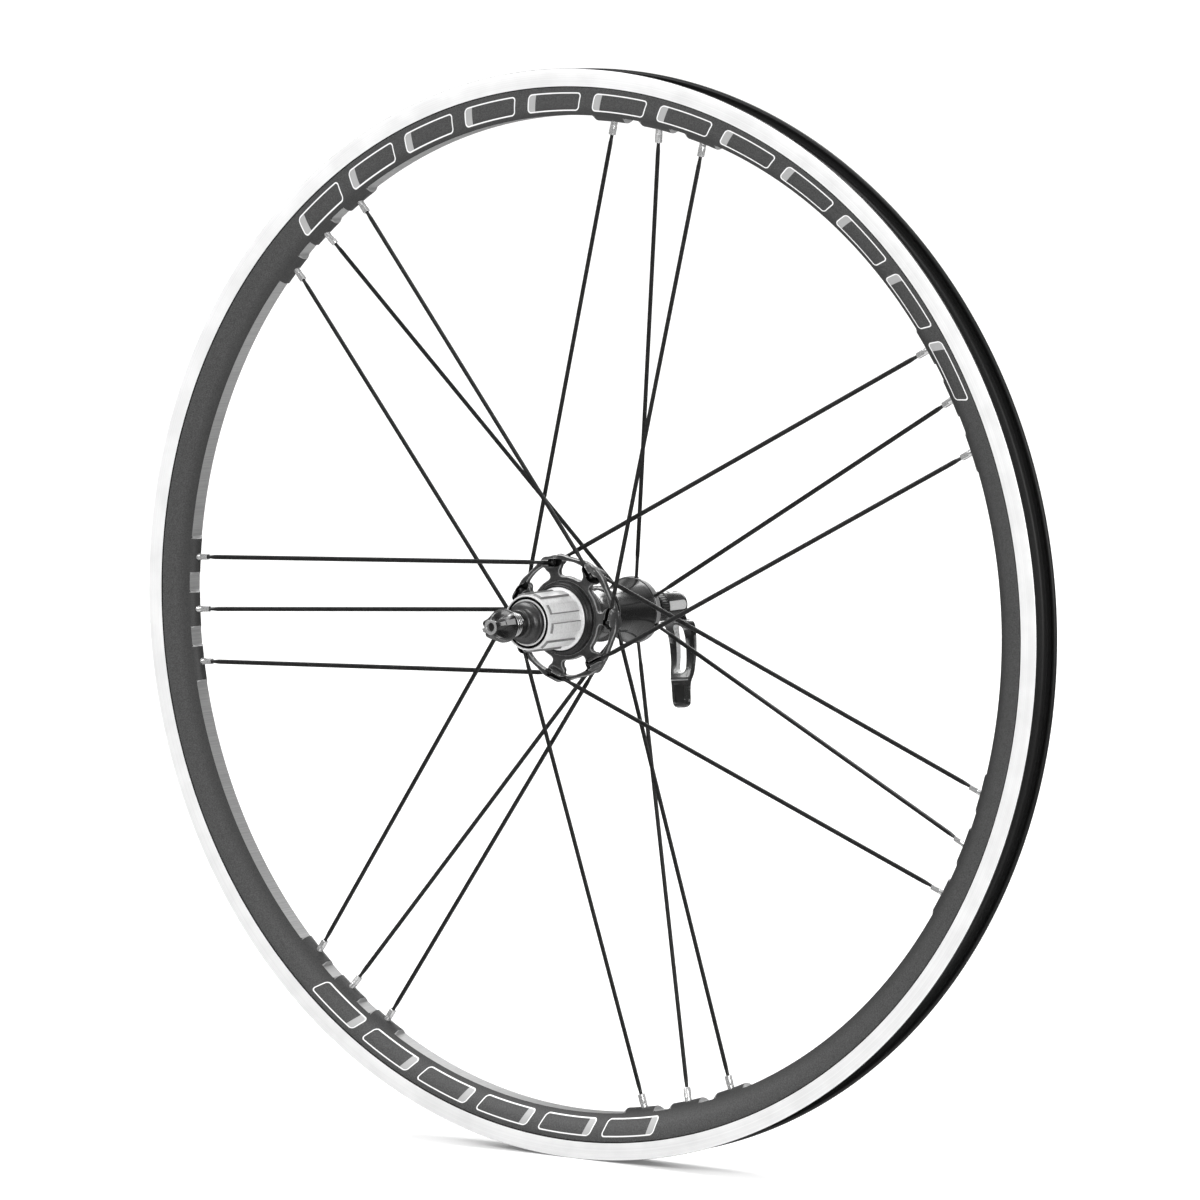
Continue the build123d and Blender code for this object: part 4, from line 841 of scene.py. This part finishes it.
def lever(materials):
    """Curved lever: head on the cam shaft, two arms round a long opening, stepped end pad."""
    inner = [(85.7, -7.4), (86.0, -9.8), (89.4, -10.9), (92.4, -12.9), (94.4, -16.5), (95.4, -21.0),
             (95.6, -27.0), (94.9, -34.0), (93.3, -40.0), (92.2, -43.2)]
    pad = [(91.0, -44.3), (90.4, -50.0), (90.2, -56.0), (90.5, -59.8), (91.6, -61.2), (93.2, -61.0)]
    outer = [(94.3, -59.4), (94.6, -52.0), (95.6, -45.5), (97.6, -39.0), (99.3, -31.0), (99.9, -24.0),
             (99.7, -17.0), (98.9, -11.8), (97.5, -8.7), (95.3, -4.6), (93.6, -3.6), (88.6, -3.0)]

    def curve(points):
        """Open smooth curve through points."""
        out = []
        for i in range(len(points) - 1):
            a, b = Vector(points[max(i - 1, 0)]), Vector(points[i])
            c, d = Vector(points[i + 1]), Vector(points[min(i + 2, len(points) - 1)])
            for k in range(4):
                t = k / 4
                out.append(tuple(0.5 * (2 * b + (c - a) * t + (2 * a - 5 * b + 4 * c - d) * t * t
                                        + (3 * b - a - 3 * c + d) * t ** 3)))
        return out + [points[-1]]

    side = curve(inner) + curve(pad) + curve(outer)
    body = prism("lever_visual", side, -10, 10, across_x)
    neck = -9.3
    right = curve([(7.2, neck - 0.4), (8.4, -11.4), (8.7, -15.0), (8.3, -25.0), (7.7, -34.0), (7.25, -40.6),
                   (6.6, -43.4), (5.6, -46.5), (5.3, -52.0), (5.15, -57.6), (4.3, -60.2), (2.4, -61.2),
                   (0, -61.3)])
    half = [(LEVER_HEAD_HALF, 2.0), (LEVER_HEAD_HALF, neck)] + right
    front = half + [(-x, z) for x, z in half[-2::-1]]
    front_prism = prism("front", front, *PAST_LEVER, along_axle)
    combine(body, front_prism, "INTERSECT")
    slot_half, top, bottom = 3.4, -15.4, -37.6
    opening = arc(0, top, slot_half, 0, 180, 16) + arc(0, bottom, slot_half, 180, 360, 16)
    cut(body, prism("opening", opening, *PAST_LEVER, along_axle, 1))
    panel = soften([(-3.4, -47.2, 1.2), (3.4, -47.2, 1.2), (3.2, -58.2, 1.8), (-3.2, -58.2, 1.8)], 1.2, 6)
    cut(body, prism("panel", panel, PAST_LEVER[0], 90.75, along_axle, 2))
    chamfer(body, 0.45, 40, 3)
    cut(body, prism("ledge", [(-10, -45.0), (10, -45.0), (10, -44.4), (-10, -44.4)],
                    PAST_LEVER[0], 91.5, along_axle, 3))
    head = prism("head", circle_yz(LEVER_HEAD_RADIUS, PIVOT_Y), -LEVER_HEAD_HALF, LEVER_HEAD_HALF, across_x)
    slit = 2.56
    cut(head, prism("slit", circle_yz(LEVER_SLIT_RADIUS, PIVOT_Y), -slit, slit, across_x),
        prism("rod_side", [(79, -6.5), (PIVOT_Y, -6.5), (PIVOT_Y, 6.5), (79, 6.5)], -slit, slit, across_x),
        prism("top_side", [(79, -0.05), (105, -2.8), (105, 12), (79, 12)], -slit, slit, across_x))
    chamfer(head, 0.2, 40, 2)
    combine(body, head, "UNION")
    cut(body, prism("slit", circle_yz(LEVER_SLIT_RADIUS, PIVOT_Y), -slit, slit, across_x),
        prism("upper", [(88, -2.8), (105, -2.8), (105, 12), (88, 12)], -slit, slit, across_x),
        prism("large", circle_yz(LEVER_LARGE_BORE, PIVOT_Y), -6, 0, across_x),
        prism("small", circle_yz(LEVER_SMALL_BORE, PIVOT_Y), 0, 6, across_x))
    finish_piece(turn_with_skewer(body), "lever", ["qr_lever"], materials, 36)


# ---- materials ----

class Finish:
    """Node material under construction; positions are the piece's own, in metres."""

    def __init__(self, name, color, roughness, metallic=1.0, coat=0.0):
        self.material = bpy.data.materials.new(name)
        self.material.use_nodes = True
        self.nodes = self.material.node_tree.nodes
        self.links = self.material.node_tree.links
        self.shader = self.nodes["Principled BSDF"]
        self.shader.inputs["Metallic"].default_value = metallic
        self.shader.inputs["Coat Weight"].default_value = coat
        self.shader.inputs["Coat Roughness"].default_value = 0.06
        self.point = self.nodes.new("ShaderNodeTexCoord").outputs["Object"]
        self.color = self.value_color(color)
        self.rough = roughness
        self.height = None

    def value_color(self, color):
        shade = self.nodes.new("ShaderNodeRGB")
        shade.outputs[0].default_value = (color, color, color, 1) if isinstance(color, float) else (*color, 1)
        return shade.outputs[0]

    def feed(self, socket, value):
        if hasattr(value, "links"):
            self.links.new(value, socket)
        else:
            socket.default_value = value

    def math(self, operation, *values):
        node = self.nodes.new("ShaderNodeMath")
        node.operation = operation
        for socket, value in zip(node.inputs, values):
            self.feed(socket, value)
        return node.outputs[0]

    def plus(self, a, b):
        return self.math("ADD", a, b)

    def minus(self, a, b):
        return self.math("SUBTRACT", a, b)

    def times(self, a, b):
        return self.math("MULTIPLY", a, b)

    def step(self, value, start, end, low=0.0, high=1.0):
        """Smooth change from low to high as value goes from start to end."""
        node = self.nodes.new("ShaderNodeMapRange")
        node.interpolation_type = "SMOOTHSTEP"
        for socket, number in zip(node.inputs, (value, start, end, low, high)):
            self.feed(socket, number)
        return node.outputs[0]

    def axes(self):
        node = self.nodes.new("ShaderNodeSeparateXYZ")
        self.links.new(self.point, node.inputs[0])
        return node.outputs

    def vector(self, x, y, z):
        node = self.nodes.new("ShaderNodeCombineXYZ")
        for socket, value in zip(node.inputs, (x, y, z)):
            self.feed(socket, value)
        return node.outputs[0]

    def radius(self):
        x, _, z = self.axes()
        return self.math("SQRT", self.plus(self.times(x, x), self.times(z, z)))

    def angle(self):
        x, _, z = self.axes()
        return self.math("ARCTAN2", z, x)

    def noise(self, scale, detail=3.0, vector=None):
        node = self.nodes.new("ShaderNodeTexNoise")
        node.inputs["Scale"].default_value = scale
        node.inputs["Detail"].default_value = detail
        self.links.new(vector or self.point, node.inputs["Vector"])
        return node.outputs["Fac"]

    def blend(self, factor, color):
        """Lay a colour over the finish where factor is 1."""
        node = self.nodes.new("ShaderNodeMix")
        node.data_type = "RGBA"
        self.feed(node.inputs[0], factor)
        self.links.new(self.color, node.inputs[6])
        self.links.new(self.value_color(color), node.inputs[7])
        self.color = node.outputs[2]

    def roughen(self, amount):
        self.rough = self.plus(self.rough, amount)

    def raise_by(self, height):
        self.height = height if self.height is None else self.plus(self.height, height)

    def grain(self, scale, depth, tone=0.25, vector=None):
        """Fine variation in height, roughness and tone."""
        field = self.noise(scale, 3.0, vector)
        self.raise_by(self.times(field, depth))
        self.roughen(self.times(self.minus(field, 0.5), 0.18))
        shift = self.nodes.new("ShaderNodeHueSaturation")
        self.feed(shift.inputs["Value"], self.step(field, 0.25, 0.75, 1 - tone, 1 + tone))
        self.links.new(self.color, shift.inputs["Color"])
        self.color = shift.outputs[0]

    def turned(self, pitch, depth, tone=0.12):
        """Lathe lines round the axle."""
        _, y, _ = self.axes()
        lines = self.vector(self.times(self.radius(), 1 / pitch),
                            self.times(y, 1 / pitch), self.times(self.angle(), 0.6))
        self.grain(1.0, depth, tone, lines)

    def edge_highlight(self, color, start=0.52, end=0.6, amount=0.7):
        """Painted highlight: lighter colour on sharp edges, found by pointiness and broken up with noise."""
        sharp = self.nodes.new("ShaderNodeNewGeometry").outputs["Pointiness"]
        patchy = self.times(self.minus(self.noise(900), 0.5), 0.05)
        broken = self.plus(sharp, patchy)
        self.blend(self.step(broken, start, end, 0.0, amount), color)

    def done(self):
        self.links.new(self.color, self.shader.inputs["Base Color"])
        self.feed(self.shader.inputs["Roughness"], self.rough)
        if self.height is not None:
            bump = self.nodes.new("ShaderNodeBump")
            bump.inputs["Strength"].default_value = 1.0
            bump.inputs["Distance"].default_value = MM
            self.links.new(self.height, bump.inputs["Height"])
            self.links.new(bump.outputs[0], self.shader.inputs["Normal"])
        return self.material


def anodised_wall():
    """Bead-blasted dark wall with a row of plain outlined bars."""
    finish = Finish("rim_wall", 0.068, 0.5, 0.3)
    finish.grain(1500, 0.035, 0.35)
    middle, bar_length, bar_height, corner, lean_rate = 298.0, 18.6, 5.4, 2.6, 0.45
    radius = finish.times(finish.radius(), 1 / MM)
    turn = finish.times(finish.angle(), 180 / math.pi)
    _, y, _ = finish.axes()
    on_wall = finish.step(finish.math("ABSOLUTE", y), 6.4 * MM, 6.5 * MM)
    height = finish.minus(radius, middle)
    # Painted shade: the wall is darkened towards the nose, below radius 298 mm, where it curves inwards.
    finish.blend(finish.step(radius, 290.0, middle, 0.55, 0.0), 0.022)
    for first, last, count in BAR_ROWS:
        pitch = (last - first) / count
        inside = finish.times(finish.step(turn, first - 0.01, first),
                    finish.step(turn, last, last + 0.01, 1, 0))
        cell = finish.math("FRACT", finish.times(finish.minus(turn, first), 1 / pitch))
        along = finish.times(finish.minus(cell, 0.5), math.radians(pitch) * middle)
        lean = finish.plus(along, finish.times(height, lean_rate))
        over = finish.math("MAXIMUM", finish.minus(finish.math("ABSOLUTE", lean), bar_length - corner), 0)
        above = finish.math("MAXIMUM", finish.minus(finish.math("ABSOLUTE", height), bar_height - corner), 0)
        reach = finish.math("SQRT", finish.plus(finish.times(over, over), finish.times(above, above)))
        away = finish.minus(reach, corner)
        shown = finish.times(inside, on_wall)
        patch = finish.times(finish.step(away, -0.2, 0, 1, 0), finish.step(lean, 13.0, 13.2))
        finish.blend(finish.times(patch, shown), 0.42)
        line = finish.step(finish.math("ABSOLUTE", finish.plus(away, 0.4)), 0.3, 0.45, 1, 0)
        finish.blend(finish.times(line, shown), 0.9)
    return finish.done()


def machined_track():
    finish = Finish("rim_track", 0.88, 0.36, 0.35)
    finish.turned(0.25 * MM, 0.02, 0.06)
    finish.grain(60, 0.0, 0.04)
    return finish.done()


def milled_flat():
    finish = Finish("rim_milled", 0.3, 0.42, 0.4)
    finish.grain(1.0, 0.03, 0.15, finish.vector(finish.times(finish.angle(), 900),
                                                finish.times(finish.radius(), 60), 0.0))
    return finish.done()


def black_anodised(name, color=0.02, roughness=0.45, metallic=0.5, coat=0.0):
    finish = Finish(name, color, roughness, metallic, coat)
    finish.grain(1800, 0.015, 0.3)
    return finish.done()


def spoke_paint():
    finish = Finish("spoke_paint", 0.018, 0.34, 0.4, 0.25)
    finish.grain(700, 0.02, 0.4)
    return finish.done()


def nickel():
    finish = Finish("nipple_nickel", 0.78, 0.22, 0.75)
    finish.grain(1200, 0.01, 0.12)
    # Painted highlight: lighter nickel on the nipples' sharp edges.
    finish.edge_highlight(0.95)
    return finish.done()


def flange_alloy():
    """Forged and shot-peened gunmetal, its edges made lighter by a painted highlight."""
    finish = Finish("hub_gunmetal", 0.075, 0.36, 0.6)
    finish.grain(1400, 0.04, 0.22)
    finish.grain(160, 0.03, 0.1)
    finish.edge_highlight(0.5, 0.51, 0.54, 0.75)
    return finish.done()


def tube_lacquer():
    finish = Finish("hub_tube_lacquer", 0.05, 0.24, 0.8, 0.6)
    finish.turned(0.5 * MM, 0.006, 0.1)
    return finish.done()


def freehub_alloy():
    finish = Finish("freehub_alloy", 0.74, 0.42, 0.4)
    finish.turned(0.3 * MM, 0.012, 0.07)
    finish.grain(900, 0.02, 0.08)
    return finish.done()


def shiny_steel(name, color, roughness, pitch=0.2):
    finish = Finish(name, color, roughness)
    finish.turned(pitch * MM, 0.0012, 0.08)
    return finish.done()


def nut_lacquer():
    finish = Finish("nut_lacquer", 0.014, 0.26, 0.4, 0.4)
    finish.grain(1600, 0.008, 0.2)
    # Painted highlight: lighter edges on the nut's fins and rims.
    finish.edge_highlight(0.45, 0.52, 0.56, 0.8)
    return finish.done()


def rubber():
    finish = Finish("seal_rubber", 0.008, 0.3, 0.0)
    finish.grain(1100, 0.03, 0.2)
    return finish.done()


def plastic(name, color, roughness=0.3):
    finish = Finish(name, color, roughness, 0.0, 0.3)
    finish.grain(500, 0.02, 0.12)
    return finish.done()


def lever_lacquer(name="barrel_lacquer", sheen_color=0.02):
    """Gloss black, with a painted sheen that turns it paler towards the tip of the lever, and painted
    highlights on its edges.
    """
    finish = Finish(name, 0.02, 0.22, 0.6, 0.7)
    # Painted sheen: paler colour blended in from z -18 mm to -36 mm, towards the tip of the lever.
    finish.blend(finish.step(finish.axes()[2], -0.018, -0.036, 0.0, 0.8), sheen_color)
    finish.grain(300, 0.004, 0.15)
    # Painted highlight: lighter colour on the sharp edges.
    finish.edge_highlight(0.6, 0.54, 0.62, 0.7)
    return finish.done()


def cutter_hatch():
    """Bare machined face with slanting cutter marks."""
    finish = Finish("lever_hatch", 0.62, 0.3, 0.4)
    _, y, z = finish.axes()
    slant = finish.times(finish.plus(y, z), 1100)
    wave = finish.math("SINE", finish.times(slant, 2 * math.pi))
    finish.raise_by(finish.times(wave, 0.05))
    finish.blend(finish.step(wave, 0.3, 1.0, 0, 0.5), 0.25)
    finish.grain(900, 0.01, 0.1)
    return finish.done()


def polished_flat(name, tone=0.6):
    finish = Finish(name, tone, 0.24, 0.35)
    finish.grain(1.0, 0.004, 0.06, finish.vector(finish.times(finish.axes()[1], 400),
                                                 finish.times(finish.axes()[2], 3000), 0.0))
    return finish.done()


def hidden_materials():
    """A finish for each CAD node that stays, by material slot."""
    return {
        "axle_alloy": shiny_steel("axle_alloy", 0.5, 0.3),
        "dark_alloy": black_anodised("dark_alloy", 0.09, 0.34, 0.9),
        "bearing_steel": shiny_steel("bearing_steel", 0.55, 0.16, 0.1),
        "ball_steel": shiny_steel("ball_steel", 0.75, 0.06, 0.5),
        "cage_nylon": plastic("cage_nylon", (0.5, 0.42, 0.3)),
        "seal_rubber": rubber(),
        "hardened_steel": shiny_steel("hardened_steel", 0.34, 0.3),
        "spring_steel": shiny_steel("spring_steel", 0.68, 0.14),
        "rod_steel": shiny_steel("rod_steel", 0.1, 0.4),
        "insert_brass": shiny_steel("insert_brass", (0.62, 0.42, 0.16), 0.28),
        "hub_alloy": black_anodised("hub_inner", 0.1, 0.35, 0.9),
    }


# ---- stage ----

def floor():
    """Pale floor that curves up behind the wheel."""
    base = measured("rim", 0, 2)
    front, bend, sweep, half_width = -9000, 3500, 3000, 12000
    profile = [(front, base), (bend, base)]
    profile += [(bend + sweep * math.sin(t), base + sweep * (1 - math.cos(t)))
                for t in (math.pi / 24 * k for k in range(1, 13))]
    profile.append((bend + sweep, base + 9000))
    azimuth = math.radians(CAMERA_AZIMUTH)
    away = Vector((-math.sin(azimuth), math.cos(azimuth), 0))
    side = Vector((math.cos(azimuth), math.sin(azimuth), 0))
    verts = [away * d + side * s + Vector((0, 0, z)) for d, z in profile for s in (-half_width, half_width)]
    faces = [(2 * k, 2 * k + 1, 2 * k + 3, 2 * k + 2) for k in range(len(profile) - 1)]
    obj = new_object("studio_floor", verts, faces)
    for polygon in obj.data.polygons:
        polygon.use_smooth = True
    finish = Finish("studio_paper", 0.93, 0.9, 0.0)
    finish.shader.inputs["Emission Color"].default_value = (1, 1, 1, 1)
    finish.shader.inputs["Emission Strength"].default_value = 0.12
    finish.grain(40, 0.0, 0.004)
    obj.data.materials.clear()
    obj.data.materials.append(finish.done())
    obj.visible_glossy = False


def softbox(name, location, size, power):
    """Soft light aimed at the hub."""
    light = bpy.data.lights.new(name, "AREA")
    light.shape = "RECTANGLE"
    light.size, light.size_y = size
    light.energy = power
    obj = bpy.data.objects.new(name, light)
    bpy.context.scene.collection.objects.link(obj)
    obj.visible_camera = False
    obj.location = location
    obj.rotation_euler = (-Vector(location)).to_track_quat("-Z", "Y").to_euler()


def camera():
    data = bpy.data.cameras.new("camera")
    data.lens = CAMERA_LENS
    data.sensor_width = 36.0
    data.shift_x, data.shift_y = CAMERA_SHIFT
    data.clip_end = 200
    obj = bpy.data.objects.new("camera", data)
    bpy.context.scene.collection.objects.link(obj)
    azimuth, elevation = math.radians(CAMERA_AZIMUTH), math.radians(CAMERA_ELEVATION)
    obj.location = Vector((math.sin(azimuth) * math.cos(elevation), -math.cos(azimuth) * math.cos(elevation),
                           math.sin(elevation))) * CAMERA_DISTANCE
    obj.rotation_euler = (-obj.location).to_track_quat("-Z", "Y").to_euler()
    bpy.context.scene.camera = obj


def studio():
    """White surround with darker bands that only reflections see, and large soft lights."""
    world = bpy.data.worlds.new("studio")
    bpy.context.scene.world = world
    world.use_nodes = True
    nodes, links = world.node_tree.nodes, world.node_tree.links
    background = nodes["Background"]
    coords = nodes.new("ShaderNodeTexCoord")
    split = nodes.new("ShaderNodeSeparateXYZ")
    ramp = nodes.new("ShaderNodeValToRGB")
    seen = nodes.new("ShaderNodeLightPath")
    choose = nodes.new("ShaderNodeMix")
    choose.data_type = "RGBA"
    links.new(coords.outputs["Generated"], split.inputs[0])
    height = nodes.new("ShaderNodeMapRange")
    height.inputs["From Min"].default_value = -1.0
    links.new(split.outputs[2], height.inputs["Value"])
    links.new(height.outputs["Result"], ramp.inputs[0])
    stops = ((0.0, 0.75), (0.2, 0.6), (0.33, 0.08), (0.5, 0.04), (0.575, 0.1), (0.7, 0.55), (0.81, 0.12),
             (0.925, 0.7))
    for k, (place, shade) in enumerate(stops):
        element = ramp.color_ramp.elements[k] if k < 2 else ramp.color_ramp.elements.new(place)
        element.position = place
        element.color = (shade, shade, shade, 1)
    links.new(seen.outputs["Is Glossy Ray"], choose.inputs[0])
    choose.inputs[6].default_value = (0.72, 0.72, 0.72, 1)
    links.new(ramp.outputs[0], choose.inputs[7])
    direct = nodes.new("ShaderNodeMix")
    direct.data_type = "RGBA"
    links.new(seen.outputs["Is Camera Ray"], direct.inputs[0])
    links.new(choose.outputs[2], direct.inputs[6])
    direct.inputs[7].default_value = (1, 1, 1, 1)
    links.new(direct.outputs[2], background.inputs[0])
    background.inputs[1].default_value = 1.0
    softbox("key", (-2.6, -3.4, 3.0), (2.2, 2.2), 120)
    softbox("fill", (3.8, -2.2, 1.2), (1.4, 2.6), 60)
    softbox("top", (0.4, 0.6, 3.6), (2.4, 1.2), 60)
    softbox("rear", (-1.0, 4.0, 2.0), (2.5, 1.5), 50)
    softbox("low", (2.2, -2.6, 0.0), (0.5, 0.5), 7)
    bpy.context.scene.view_settings.view_transform = "Standard"


# ---- the wheel ----

def build():
    gunmetal, lacquer = flange_alloy(), tube_lacquer()
    track, milled = machined_track(), milled_flat()
    well = black_anodised("rim_well")
    rim([anodised_wall(), track, milled, well])
    paint = spoke_paint()
    spokes("drive_front_spokes", FRONT, paint)
    spokes("drive_back_spokes", BACK, paint)
    spokes("left_spokes", LEFT, paint)
    nipples(nickel())
    pocket = black_anodised("hub_pocket", 0.03, 0.35, 0.9)
    hub_shell([lacquer, pocket, polished_flat("hub_bright", 0.22), gunmetal])
    # The freehub's second and third materials are painted shade, for its inner groove and for its spline
    # flanks.
    freehub([freehub_alloy(), black_anodised("freehub_groove_shade", 0.05, 0.4, 0.8),
             black_anodised("freehub_flank_shade", 0.2, 0.5, 0.3)])
    hidden = hidden_materials()
    freehub_seal(hidden["seal_rubber"])
    drive_end_cap(hidden["dark_alloy"])
    left_end_cap(hidden["dark_alloy"])
    nut_spring(hidden["spring_steel"])
    nut([nut_lacquer(), polished_flat("nut_facet", 0.3)])
    cap_ring(black_anodised("cap_black", 0.012, 0.4, 0.2, 0.2))
    lever_black = lever_lacquer()
    cam_housing([lever_black, polished_flat("barrel_flat")])
    lever([lever_lacquer("lever_arm_lacquer", 0.06), cutter_hatch(),
           black_anodised("lever_panel", 0.015, 0.45, 0.3), polished_flat("lever_ledge")])
    for part in frame["record"]["subparts"]:
        if part["material_slot"] in hidden:
            for place in frame["nodes"][part["node"]].material_slots:
                place.material = hidden[part["material_slot"]]


build()
floor()
studio()
camera()
